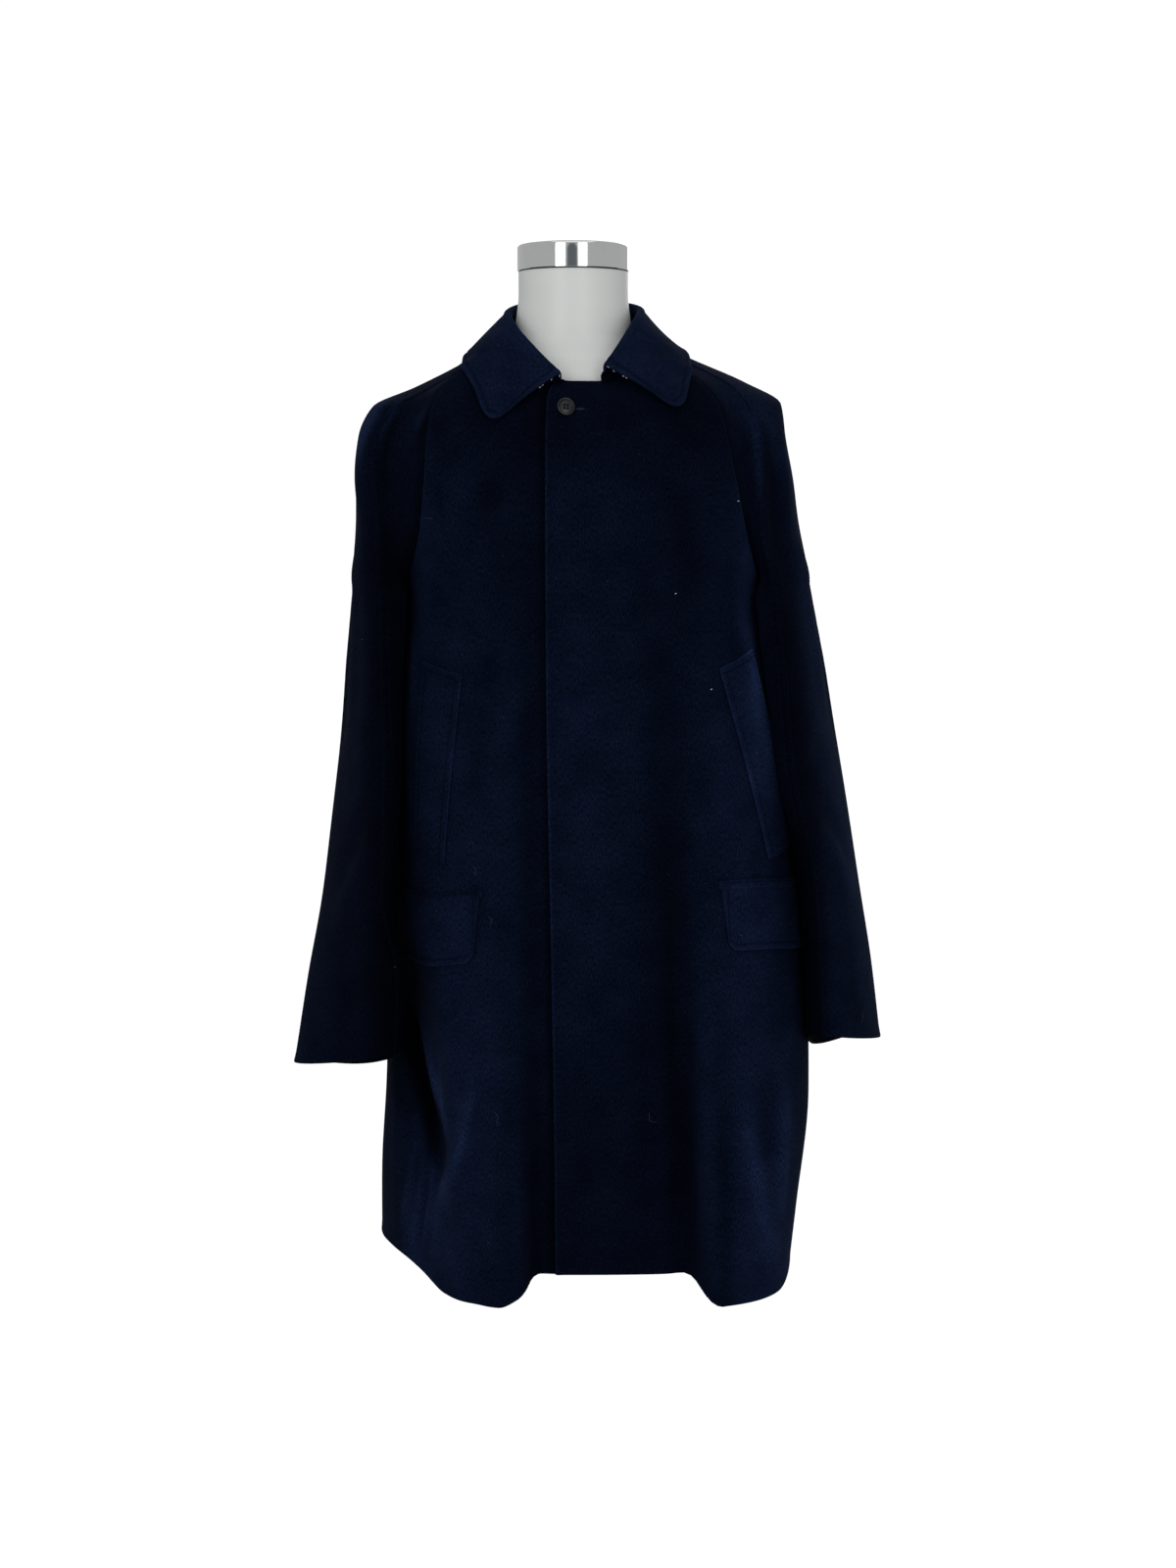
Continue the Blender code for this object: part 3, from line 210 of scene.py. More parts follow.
CAP = table(
    "rise   panel_turn dip     over_turn over_reach back_turn back_reach right_reach",
    (0.00,  90,        0.000,   0,        0.120,     84,       0.180,     0.95),
    (0.12,  86,        0.003,   0,        0.078,     66,       0.190,     0.95),
    (0.30,  66,        0.008,   0,        0.064,     42,       0.124,     0.95),
    (0.50,  46,        0.010,   4,        0.073,     12,       0.073,     0.95),
    (0.70,  40,        0.009,   10,       0.068,    -10,       0.068,     0.90),
    (0.82,  42,        0.006,   16,       0.081,    -18,       0.081,     0.83),
    (0.90,  46,        0.003,   40,       0.064,    -38,       0.064,     0.83),
    (0.96,  50,        0.001,   50,       0.040,    -50,       0.040,     1.00),
    (1.00,  55,        0.000,   60,       0.024,    -60,       0.024,     1.00),
)
RIGHT_SHRINK = table(
    "rise  front  over   drop",
    (0.00, 0.900, 0.940, 0.000),
    (0.12, 0.890, 0.970, 0.000),
    (0.30, 0.885, 1.020, 0.000),
    (0.50, 0.905, 1.050, 0.000),
    (0.70, 0.940, 1.060, 0.000),
    (0.82, 0.960, 1.010, 0.002),
    (0.90, 0.985, 0.940, 0.006),
    (0.96, 0.995, 0.960, 0.007),
    (1.00, 1.000, 1.000, 0.003),
)

# %% Measurements of the fly, the hem and the folds
FLY_EDGE = table(                   # the left front's edge; the right front goes on under it
    "z      x",
    (0.000, -0.0198),
    (0.100, -0.0203),
    (0.385, -0.0232),
    (0.700, -0.0275),
    (0.950, -0.0280),
    (1.014, -0.0266),
)
FLY_TROUGH = table(
    "z     depth  right_x  right_soft left_x  left_soft",
    (0.00, 0.056, -0.0610, 0.029,     0.120,  0.040),
    (0.20, 0.043, -0.0610, 0.029,     0.117,  0.042),
    (0.40, 0.023, -0.0610, 0.029,     0.110,  0.050),
    (0.60, 0.009, -0.0610, 0.029,     0.104,  0.060),
    (0.80, 0.000, -0.0610, 0.029,     0.100,  0.060),
)
HEM = table(                        # where the raised middle ends, and where the hem rises to its side
    "side  middle middle_soft side_rise side_start side_end",
    (RIGHT, 0.100, 0.12,       0.028,    0.46,      0.74),
    (LEFT,  0.235, 0.11,       0.022,    0.62,      1.00),
)
BACK_SQUARE, NECK_SQUARE = 0.62, 0.45               # how boxy the panels turn to the side, from 0 to 1
FRONT_DEPTH = 0.05                  # distance in front of the side over which the trough dies away
BODY_FOLDS = table(
    "hem_angle top_angle half_angle depth   z_low   z_peak  z_high",
    (-58,      -66,      19,       -0.030,  -0.15,  0.21,   0.46),
    (-92,      -90,      17,        0.007,  -0.60,  0.08,   0.50),
    (118,      112,      17,       -0.014,  -0.60,  0.00,   0.62),
    (-121,    -114,      17,       -0.014,  -0.60,  0.00,   0.58),
    (150,      148,      16,        0.014,  -0.60,  0.00,   0.66),
    (-152,    -148,      16,        0.013,  -0.60,  0.00,   0.62),
    (179.9,    179.9,    15,       -0.012,  -0.60,  0.00,   0.60),
)
print(f"front {YOKE['front_z'][-1] - HEM_Z:.3f} m long, back {YOKE['back_z'][-1] - HEM_BACK_Z:.3f} m")


# %% Seams and folds of the body
def shrink(side, rise, name):
    """The wearer's right is a little narrower than the left."""
    if side == LEFT:
        return np.full(np.shape(rise), 0.0 if name == "drop" else 1.0)
    return read(RIGHT_SHRINK, name, rise)


def raglan_seam(side, rise, name):
    """A point of the front or back raglan seam, from the underarm (0) to the neckline (1)."""
    x, y, z = (read(RAGLAN, f"{name}_{axis}", rise) for axis in "xyz")
    at_neck = ease((1 - np.asarray(rise)) / 0.04)
    drop = 0.0 if name == "front" else shrink(side, rise, "drop") * at_neck
    return xyz(side * x * shrink(side, rise, "front"), y, z - drop)


def body_folds(points):
    """Moves the body's points into its long folds."""
    x, y, z = (points[..., i] for i in range(3))
    trough = {name: read(FLY_TROUGH, name, z) for name in FLY_TROUGH}
    inside = (ease((x - trough["right_x"]) / trough["right_soft"])
              * ease((trough["left_x"] + trough["left_soft"] - x) / trough["left_soft"]))
    moved = points.copy()
    moved[..., 1] += trough["depth"] * inside * ease(-y / FRONT_DEPTH)
    angle = np.degrees(np.arctan2(x, -y))
    radial = unit(xyz(x, y, 0 * z))
    for k in range(len(BODY_FOLDS["depth"])):
        fold = {name: values[k] for name, values in BODY_FOLDS.items()}
        centre = fold["hem_angle"] + (fold["top_angle"] - fold["hem_angle"]) * ease(z / fold["z_high"])
        off = (angle - centre + 180) % 360 - 180
        size = fold["depth"] * swell(off, fold["half_angle"])
        size *= fade(z, fold["z_low"], fold["z_peak"], fold["z_high"])
        moved += radial * size[..., None]
    return moved


# %% Rows of the body
def hem_height(side, share, front):
    """Height of the hem, round from the centre (0) to the side seam (1)."""
    row = {name: values[0 if side == RIGHT else 1] for name, values in HEM.items()}
    if not front:
        return HEM_BACK_Z + (HEM_Z + row["side_rise"] - HEM_BACK_Z) * ease(share)
    centre = HEM_RAISE * (1 - ease((share - row["middle"]) / row["middle_soft"]))
    beyond = (share - row["side_start"]) / (row["side_end"] - row["side_start"])
    return HEM_Z + centre + row["side_rise"] * ease(beyond)


def half_row(side, level, share, front):
    """A point of the body on one side of one face: level 0 is the hem, 1 the underarm, 2 the neck."""
    level, share = np.broadcast_arrays(np.asarray(level, float), np.asarray(share, float))
    low, rise = np.clip(level, 0, 1), np.clip(level - 1, 0, 1)
    face, wearer = ("front" if front else "back"), ("left" if side == LEFT else "right")
    skirt = {name: read(SKIRT, name, low * UNDERARM_Z) for name in SKIRT}
    above = level > 1
    centre_y = np.where(above, read(YOKE, f"{face}_y", rise), skirt[f"{face}_y"])
    seam = raglan_seam(side, rise, face)
    edge_x = np.where(above, seam[..., 0], skirt[f"{wearer}_x"])
    edge_y = np.where(above, seam[..., 1], skirt[f"{wearer}_y"])
    turn = np.radians(np.where(above, read(CAP, "panel_turn", rise), 90.0)) * (1 if front else -1)
    square = skirt[f"{wearer}_square"] if front else np.full_like(low, BACK_SQUARE)
    square = np.where(above, square + (NECK_SQUARE - square) * ease(rise), square)
    centre, edge = xyz(0 * edge_x, centre_y, 0), xyz(edge_x, edge_y, 0)
    reach = square * np.maximum(np.abs(centre_y - edge_y), 0.5 * np.abs(edge_x) * ease(rise))
    arrive = edge - xyz(side * np.cos(turn), np.sin(turn), 0) * reach[..., None]
    points = bezier((centre, xyz(square * edge_x, centre_y, 0), arrive, edge), share)
    centre_z = read(YOKE, f"{face}_z", rise)
    level_part = NECK_LEVEL * ease((rise - 0.6) / 0.4) if front else 0.0
    yoke_z = centre_z + (seam[..., 2] - centre_z) * ease((share - level_part) / (1 - level_part))
    skirt_z = hem_height(side, share, front) * (1 - low) + low * UNDERARM_Z
    points[..., 2] = np.where(above, yoke_z, skirt_z)
    return points


def body_row(level, across, front):
    """A point of the folded front or back, from the right seam (-1) to the left seam (+1)."""
    level, across = np.broadcast_arrays(np.asarray(level, float), np.asarray(across, float))
    left = half_row(LEFT, level, np.clip(across, 0, 1), front)
    right = half_row(RIGHT, level, np.clip(-across, 0, 1), front)
    return body_folds(np.where((across >= 0)[..., None], left, right))


def across_at_x(level, x):
    """The across value at which the front passes a given x near the centre, for each level."""
    tries = np.linspace(-0.5, 0.5, 101)
    rows = [body_row(one, tries, True)[:, 0] for one in level]
    wanted = np.broadcast_to(x, len(level))
    return np.array([np.interp(place, row, tries) for row, place in zip(rows, wanted)])


# %% [markdown]
# ## The creases
# Heavy wool hangs in long soft folds with a few sharper breaks where it is pushed from the side.
# Each crease is a line of points on the cloth with a half width and a depth: a ridge is positive
# and a trough negative. The cloth moves in or out along its own normal by a cosine bump across the
# line, and the bump dies away towards both ends, so no crease starts or stops abruptly.

# %% Creases of the fronts and the back
# Each row holds a half width, a depth, and then x and z of each point, in millimetres.
FRONT_CREASES = (
    # where the hollow middle meets the wearer's left cone
    (22, -6.5, (105, 700), (107, 600), (109, 500), (111, 400), (114, 290), (119, 160), (128, -100)),
    (20, 4, (136, 500), (140, 320), (147, 160), (158, -100)),
    # beside the fly, on the wearer's right
    (16, -5, (-40, 300), (-39, 140), (-38, -100)),
    (24, 4, (-78, 420), (-82, 200), (-90, -100)),
    # the overhanging fold of the wearer's right skirt
    (14, 6, (-170, 360), (-163, 300), (-158, 262), (-151, 232), (-142, 206), (-130, 170)),
    (16, -12, (-190, 350), (-180, 290), (-173, 250), (-165, 212), (-152, 165)),
    (13, 4, (-108, 300), (-115, 240), (-124, 186), (-149, 108), (-160, 0)),
    (7, 3.2, (-105, 310), (-110, 236), (-118, 199), (-128.4, 162), (-142, 129), (-152, 60)),
    (8, 3.4, (-150, 180), (-158, 135), (-172, 30)),
    (6, 2.6, (-164, 180), (-172, 120), (-185, 40)),
    (7, 3.2, (-176, 185), (-184, 130), (-197, 60)),
    (6, -2.2, (-157, 165), (-165, 115), (-178, 40)),
    # the wearer's left skirt
    (16, 4, (180, 270), (190, 210), (208, 120), (228, 0)),
    (13, 4, (225, 300), (231, 208), (226, 120), (222, 50)),
    (18, -4, (205, 300), (212, 210), (214, 150)),
    # drag lines from the collar towards the arms, and across the chest
    (30, 2.2, (-50, 985), (-105, 930), (-140, 850)),
    (26, -2.2, (-60, 930), (-105, 870), (-130, 800)),
    (30, 2.2, (70, 985), (115, 930), (148, 860)),
    (24, -2, (95, 900), (125, 840), (140, 770)),
    (40, -2.5, (-95, 780), (-100, 640), (-100, 500)),
    (34, 2.2, (60, 760), (64, 620), (68, 480)),
)
BACK_CREASES = (
    (30, 6, (52, 660), (60, 400), (72, -100)),
    (28, -6, (98, 620), (112, 360), (130, -100)),
    (30, 6, (-54, 620), (-62, 360), (-74, -100)),
    (28, -6, (-96, 660), (-108, 360), (-122, -100)),
    (20, -3, (30, 360), (34, 200), (38, -100)),
    (34, -4, (40, 970), (80, 880), (120, 780)),
    (34, -4, (-36, 960), (-78, 870), (-112, 770)),
    (30, 3, (70, 990), (115, 910), (140, 820)),
    (30, 3, (-66, 990), (-108, 900), (-130, 820)),
    (40, 3, (-90, 720), (0, 690), (90, 730)),
)
print("creases in front and behind:", len(FRONT_CREASES), len(BACK_CREASES))

# %% Pressing the creases
CREASE_TAPER = 0.38                 # share of its length over which a crease dies away at each end


def pressed(places, lines, per=1000):
    """How far each place moves out (+) or in (-), for lines drawn on its own plane in millimetres."""
    total = np.zeros(places.shape[:-1])
    for half_width, depth, *line in lines:
        line = np.array(line, float) / 1000
        lengths = np.linalg.norm(np.diff(line, axis=0), axis=1)
        starts = np.concatenate([[0], np.cumsum(lengths)])
        nearest = np.full(total.shape, 1e9)
        along = np.zeros(total.shape)
        for start, end, length, before in zip(line, line[1:], lengths, starts):
            share = np.clip((places - start) @ (end - start) / length ** 2, 0, 1)
            distance = np.linalg.norm(places - start - share[..., None] * (end - start), axis=-1)
            closer = distance < nearest
            nearest = np.where(closer, distance, nearest)
            along = np.where(closer, before + share * length, along)
        taper = CREASE_TAPER * starts[-1]
        fading = ease(along / taper) * ease((starts[-1] - along) / taper)
        total += depth / per * swell(nearest, half_width / 1000) * fading
    return total


# %% [markdown]
# ## Painted light and shade on the wool
# The wool's colour carries painted light and shade: it is made paler on the raised parts and on
# the edges that catch the light, and darker in the hollows and beside the arms, where shade falls.
# Each streak below is a line with a half width and a change, drawn like the creases: +0.7 doubles
# the tone and -0.7 halves it. The result is kept with the mesh as a number for each point, and the
# wool's colour reads it.

# %% Streaks of painted light and shade on the fronts
# Each row holds a half width, a change, and then x and z of each point, with lengths in millimetres.
FRONT_PAINTED_SHADING = (
    # the hollow beside the fly, and the wearer's left cone
    (50, -0.22, (82, 1200), (88, 800), (92, 550), (100, 350), (118, -250)),
    (22, -0.20, (84, 750), (88, 500), (96, 360), (110, 260), (118, 160), (127, -250)),
    (32, -0.30, (72, 480), (78, 200), (82, -300)),
    (60, 0.45, (160, 1000), (166, 700), (182, 450), (198, 200), (216, -400)),
    (45, 0.30, (190, 420), (204, 220), (226, -400)),
    (34, 1.25, (188, 980), (196, 820), (206, 700), (216, 520)),
    (22, 0.45, (236, 400), (240, 200), (236, -100)),
    (20, -0.30, (158, 360), (163, 140), (168, -200)),
    # the fly, and beside it
    (62, 0.30, (12, 920), (12, 650), (12, 260)),
    (75, -0.30, (10, 400), (10, 100), (10, -400)),
    (22, -0.36, (-44, 1300), (-44, 700), (-44, 140)),
    (26, -0.40, (-74, 420), (-80, 200), (-88, -250)),
    # the wearer's right front, and the overhanging fold of its skirt
    (80, 0.40, (-122, 980), (-116, 600), (-112, 100), (-112, -200)),
    (24, 0.40, (-158, 1020), (-163, 800), (-168, 640)),
    (50, 0.42, (-140, 420), (-146, 220), (-160, -300)),
    (21, -1.35, (-190, 460), (-188, 384), (-186, 321), (-183, 279), (-168, 232), (-154, 190), (-134, 100)),
    (24, 0.65, (-188, 160), (-186, 100), (-176, -100)),
    (30, -0.75, (-205, 330), (-197, 250), (-190, 180)),
    (15, -1.05, (-163, 230), (-160, 195), (-156, 140)),
    (14, 0.50, (-162, 275), (-154, 242), (-144, 205)),
    (14, 0.50, (-186, 435), (-184, 400)),
    (14, 0.55, (-176, 760), (-175, 700), (-176, 640)),
    (18, 0.24, (116, 470), (116, 180)),
    (22, 0.22, (-84, 710), (-84, 530)),
    (14, 0.50, (176, 820), (182, 760), (199, 705), (207, 640)),
    # the chest and the shoulders
    (100, -0.40, (-600, 975), (600, 975)),
    (42, -0.35, (112, 1120), (120, 930), (130, 720)),
    (42, -0.30, (-88, 1120), (-84, 930), (-76, 680)),
)

# %% Streaks of painted light and shade on the sleeves
SLEEVE_PAINTED_SHADING = {
    RIGHT: (
        (30, -0.45, (-205, 1200), (-208, 900), (-210, 700), (-213, 500), (-216, 0)),
        (45, -0.80, (-186, 1200), (-190, 700), (-193, 500), (-200, 360), (-205, -100)),
        (28, -1.10, (-188, 600), (-190, 400), (-196, 100)),
        (50, -0.28, (-240, 660), (-250, 400), (-258, 0)),
        (14, 1.35, (-238, 900), (-228, 950), (-208, 993), (-160, 1028)),
        (7, 0.80, (-168, 1010), (-188, 991), (-203, 962), (-211, 938)),
        (8, -0.50, (-170, 992), (-188, 972), (-199, 938), (-204, 890)),
        (7, 0.45, (-140, 1006), (-156, 985), (-172, 955)),
        (7, -0.45, (-146, 982), (-162, 955), (-168, 930)),
    ),
    LEFT: (
        (30, -1.15, (204, 1080), (214, 860), (219, 790), (232, 690), (244, 580), (252, 470), (262, 360),
         (276, 50)),
        (45, -0.45, (238, 620), (250, 440), (262, 100)),
        (22, 0.40, (222, 960), (245, 830), (272, 690), (300, 540), (326, 390), (345, 200)),
        (30, 0.50, (160, 1030), (200, 990), (226, 930), (234, 880)),
        (14, -0.45, (164, 995), (180, 951), (188, 897), (194, 843)),
        (6, 0.60, (182, 994), (192.5, 970), (195.5, 938), (197, 908), (194, 865)),
        (9, -0.50, (196, 985), (205, 960), (208, 930), (210, 890)),
    ),
}


# %% Painted light and shade
def painted_shading(places, streaks, pressing=0.0):
    """Painted light and shade, 1 for plain cloth, from its streaks and from how far a crease presses it:
    painted shade in a trough, painted light on a ridge.
    """
    return np.exp(pressed(places, streaks, per=1) + 100 * pressing)


# %% [markdown]
# ## The sleeves
# A raglan sleeve runs up to the neck and is cut in two halves, which meet in a seam over the arm.
# Empty sleeves hang flat against the body and swing forward at the cuff. Each half is a grid too:
# rows run from the cuff to the neckline, and columns from the seam over the arm to the underarm.

# %% Measurements of the sleeves
TUBE = {
    RIGHT: table(
        "z      x        y       half_width half_thick inner turn  swing front_lift back_lift inner_lift",
        (0.257, -0.2520, -0.082, 0.078,     0.031,     0.75, 52,   80,    0.0330,    0.000,   -0.0125),
        (0.360, -0.2410, -0.068, 0.086,     0.031,     0.80, 40,   72,    0.0175,    0.000,   -0.0060),
        (0.460, -0.2375, -0.050, 0.093,     0.031,     0.92, 24,   60,    0.0050,    0.000,   -0.0020),
        (0.610, -0.2271, -0.020, 0.099,     0.030,     1.00, 17,   36,    0,         0,        0),
        (0.700, -0.2218, -0.007, 0.103,     0.032,     0.95, 12,   18,    0,         0,        0),
        (0.785, -0.2111, -0.001, 0.106,     0.0380,    0.75,  6,    0,    0,         0,        0),
    ),
    LEFT: table(
        "z      x       y       half_width half_thick inner turn  swing front_lift back_lift inner_lift",
        (0.288, 0.3058, -0.040, 0.078,     0.0338,    1.00, 27,   80,    0.0173,   -0.0173,  -0.0147),
        (0.370, 0.2985, -0.030, 0.086,     0.0320,    0.97, 22,   72,    0.0090,   -0.0090,  -0.0070),
        (0.460, 0.2870, -0.020, 0.093,     0.031,     0.92, 17,   60,    0.0030,   -0.0030,  -0.0020),
        (0.610, 0.2612, -0.010, 0.099,     0.031,     1.00, 17,   36,    0,         0,        0),
        (0.700, 0.2467, -0.006, 0.103,     0.033,     0.95, 13,   18,    0,         0,        0),
        (0.785, 0.2299, -0.001, 0.106,     0.0352,    0.75,  9,    0,    0,         0,        0),
    ),
}
SLEEVE_DENT = {                     # a flat hollow in the back half, below the shoulder
    RIGHT: {"share": 0.30, "half_width": 0.16, "depth": -0.004, "low": -0.40, "peak": 0.40, "high": 0.84},
    LEFT: {"share": 0.12, "half_width": 0.11, "depth": -0.010, "low": -0.30, "peak": 0.42, "high": 0.84},
}

# %% Creases of the sleeves
# Each point is given by how far it lies round from the seam over the arm, and by its height, in mm.
SLEEVE_CREASES = {
    (RIGHT, "front"): (
        (20, 2, (30, 920), (26, 800), (30, 660)),
        (24, -3, (60, 660), (50, 560), (30, 480)),
        (20, 2.5, (80, 620), (66, 520), (40, 430)),
    ),
    (RIGHT, "back"): (
        (26, 3, (60, 900), (75, 760), (85, 600)),
        (24, -3.2, (105, 860), (120, 720), (130, 580)),
        (28, -3, (20, 600), (50, 520), (100, 470)),
        (26, 2.8, (20, 540), (60, 460), (115, 420)),
        (22, -2.2, (60, 400), (65, 330), (68, 240)),
    ),
    (LEFT, "front"): (
        (20, 2.2, (20, 900), (24, 780), (22, 660)),
        (22, -3, (60, 680), (48, 580), (26, 500)),
        (20, 2.5, (76, 620), (60, 520), (36, 440)),
    ),
    (LEFT, "back"): (
        (26, 3, (70, 900), (85, 760), (95, 620)),
        (24, -3.4, (115, 860), (130, 720), (138, 580)),
        (30, -3, (15, 620), (50, 540), (105, 500)),
        (26, 2.6, (20, 560), (60, 480), (115, 450)),
        (22, -2.2, (50, 420), (52, 360), (58, 270)),
    ),
}


# %% Surface of the sleeves
def tube_row(side, row, face, shares):
    """One half of a hanging tube's section, from its front fold to the underarm seam."""
    turn = math.radians(row["turn"])
    out = np.array([side * math.cos(turn), -math.sin(turn), 0.0])
    forward = np.array([-side * math.sin(turn), -math.cos(turn), 0.0])
    end = math.pi + math.radians(row["swing"]) - (0 if face == "front" else 2 * math.pi)
    angle = math.pi / 2 + (end - math.pi / 2) * shares
    across = np.cos(angle) * np.where(np.cos(angle) < 0, row["inner"], 1.0)
    lift = (row["front_lift"] + row["back_lift"]) / 2
    lift = lift + (row["front_lift"] - row["back_lift"]) / 2 * np.sin(angle)
    lift = lift + row["inner_lift"] * np.maximum(0, -np.cos(angle)) ** 2
    return (xyz(row["x"], row["y"], row["z"] + lift) + across[:, None] * out * row["half_thick"]
            + np.sin(angle)[:, None] * forward * row["half_width"])


def cap_row(side, rise, face, shares):
    """One half of the sleeve's section above the underarm, from the seam over the arm."""
    x, y, z = (float(read(RAGLAN, f"over_{axis}", rise)) for axis in "xyz")
    narrower, drop = float(shrink(side, rise, "over")), float(shrink(side, rise, "drop"))
    over = np.array([side * x * narrower, y, z - drop])
    seam = raglan_seam(side, rise, face)
    cap = {name: float(read(CAP, name, rise)) for name in CAP}
    if face == "front":
        dip = np.array([0.0, cap["dip"], 0.0])
        thirds = [over + (seam - over) * share + dip for share in (0.3, 0.7)]
        return bezier((over, *thirds, seam), shares)
    scale = cap["right_reach"] if side == RIGHT else 1.0
    handles = []
    for end, name in ((over, "over"), (seam, "back")):
        turn = math.radians(cap[f"{name}_turn"])
        way = np.array([side * math.cos(turn), math.sin(turn), 0.0])
        handles.append(end + scale * cap[f"{name}_reach"] * way)
    return bezier((over, *handles, seam), shares)


def sleeve_half(side, face, rises, shares):
    """Points of one half of a sleeve: a row for each rise, from the seam over the arm outwards."""
    tube = TUBE[side]
    height = UNDERARM_Z - tube["z"][0]
    rows = [{name: values[k] for name, values in tube.items()} for k in range(len(tube["z"]))]
    knots = [(row["z"] - UNDERARM_Z) / height for row in rows] + list(RAGLAN["rise"][1:])
    sections = np.array([tube_row(side, row, face, shares) for row in rows]
                        + [cap_row(side, rise, face, shares) for rise in RAGLAN["rise"][1:]])
    rises = np.asarray(rises)
    points = np.empty((len(rises), len(shares), 3))
    for column in range(len(shares)):
        for axis in range(3):
            points[:, column, axis] = through(knots, sections[:, column, axis], rises)
    above, hanging = rises >= 0, len(rows)
    points[above, -1] = raglan_seam(side, rises[above], face)
    for axis in range(3):
        points[~above, -1, axis] = through(knots[:hanging], sections[:hanging, -1, axis], rises[~above])
    if face == "back":
        rise, share = np.meshgrid(rises, shares, indexing="ij")
        outward = grid_normals(points, points - points.mean(axis=1, keepdims=True))
        dent = SLEEVE_DENT[side]
        size = dent["depth"] * swell(share - dent["share"], dent["half_width"])
        size *= fade(rise, dent["low"], dent["peak"], dent["high"])
        points = points + outward * size[..., None]
    return points


# %% [markdown]
# ## Turning a grid into cloth
# A sheet of cloth is thin but not flat at its edges: wool is turned under and pressed, so its edge
# is round. A Solidify modifier would leave a square rim. Here the outer and the inner face are two
# grids, and a small arc of faces closes the wall between them, the same on every piece. The grid's
# own distances become the UV map in metres, so the weave keeps its scale and follows the cloth.

# %% Spacing of a grid
EDGE_STEPS = np.array([0.0, 0.0007, 0.0016, 0.0027, 0.0038, 0.0048, 0.0056, 0.0064, 0.0072,
                       0.0082, 0.0100, 0.0130])
pieces = {}                         # every finished piece by name


def keep(name, mesh):
    """Makes a mesh an object at the origin, and keeps it among the pieces."""
    made = bpy.data.objects.new(name, mesh)
    bpy.context.scene.collection.objects.link(made)
    pieces[name] = made
    return made


def graded(length, cell=CELL, start=True, end=True):
    """Shares from 0 to 1 along a length: cells of one size, and closer ones beside the ends."""
    low = EDGE_STEPS if start else np.array([0.0])
    high = length - EDGE_STEPS[::-1] if end else np.array([length])
    middle = np.linspace(low[-1], high[0], max(2, int(round((high[0] - low[-1]) / cell)) + 1))[1:-1]
    return np.concatenate([low, middle, high]) / length


# %% Cloth walls
RIM_ARC = (math.pi * 0.2, math.pi * 0.5, math.pi * 0.8)
INNER_SHADE = 0.45                   # painted shade: the inner face of the cloth is made darker


def cloth_wall(name, outer, inner, uv, finish, bulge=0.5, tone=None):
    """A closed wall of cloth between two grids, with a rounded rim, as a finished mesh object."""
    rows, cols = outer.shape[:2]
    count = rows * cols
    index = np.arange(count).reshape(rows, cols)
    rim = np.concatenate([index[0], index[1:, -1], index[-1, -2::-1], index[-2:0:-1, 0]])
    r, c = np.unravel_index(rim, (rows, cols))
    inside = np.clip(r, 1, rows - 2), np.clip(c, 1, cols - 2)
    away = unit(outer[r, c] - outer[inside])
    middle, half = (outer[r, c] + inner[r, c]) / 2, (outer[r, c] - inner[r, c]) / 2
    size = np.linalg.norm(half, axis=-1, keepdims=True) * bulge
    rings = [middle + half * math.cos(turn) + away * size * math.sin(turn) for turn in RIM_ARC]
    points = np.concatenate([outer.reshape(-1, 3), inner.reshape(-1, 3), *rings])
    flat = uv.reshape(-1, 2)
    flat = np.concatenate([flat, flat] + [flat[rim] + 0.001 * (k + 1) for k in range(len(rings))])
    # tone is the painted light and shade of each point of the outer face, kept as an attribute; the inner
    # face gets painted shade, and the rim keeps its edge's tone.
    tone = np.ones(count) if tone is None else np.broadcast_to(tone, (rows, cols)).ravel()
    tone = np.concatenate([tone, INNER_SHADE * tone] + [tone[rim]] * len(rings))
    quads = np.stack([index[:-1, :-1], index[:-1, 1:], index[1:, 1:], index[1:, :-1]], -1).reshape(-1, 4)
    faces = [quads, quads[:, ::-1] + count]
    rounds = [2 * count + k * len(rim) + np.arange(len(rim)) for k in range(len(rings))]
    loops = [rim, *rounds, rim + count]
    for upper, lower in zip(loops, loops[1:]):
        faces.append(np.stack([np.roll(upper, -1), upper, lower, np.roll(lower, -1)], 1))
    faces = np.concatenate(faces)
    first = np.cross(outer[1:, :-1] - outer[:-1, :-1], outer[:-1, 1:] - outer[:-1, :-1])
    if np.sum(first * (outer - inner)[:-1, :-1]) > 0:
        faces = faces[:, ::-1]
    mesh = bpy.data.meshes.new(name)
    mesh.from_pydata(points.tolist(), [], faces.tolist())
    mesh.update()
    layer = mesh.uv_layers.new(name="cloth")
    corner = np.zeros(len(mesh.loops), np.int64)
    mesh.loops.foreach_get("vertex_index", corner)
    layer.data.foreach_set("uv", flat[corner].astype(np.float32).ravel())
    mesh.attributes.new("painted_shading", "FLOAT", "POINT").data.foreach_set("value", tone.astype(np.float32))
    mesh.shade_smooth()
    mesh.materials.append(finish)
    return keep(name, mesh)


# %% Keeping one piece clear of another
def outer_tree(grids):
    """A search tree over several (grid, normals) pairs, with all faces outward."""
    points, faces = [], []
    for grid, normals in grids:
        rows, cols = grid.shape[:2]
        index = np.arange(rows * cols).reshape(rows, cols) + len(points)
        quads = np.stack([index[:-1, :-1], index[1:, :-1], index[1:, 1:], index[:-1, 1:]], -1).reshape(-1, 4)
        away = np.cross(grid[1:, :-1] - grid[:-1, :-1], grid[:-1, 1:] - grid[:-1, :-1])
        if np.sum(away * normals[:-1, :-1]) < 0:
            quads = quads[:, ::-1]
        faces.extend(quads.tolist())
        points.extend(grid.reshape(-1, 3).tolist())
    return BVHTree.FromPolygons(points, faces)


def held_off(point, tree, distance):
    """The point, moved out if it lies nearer than a distance to the tree's outer face."""
    near, normal, _, _ = tree.find_nearest(point)
    short = distance - (Vector(point) - near).dot(normal)
    return np.array(Vector(point) + normal * max(0.0, short))


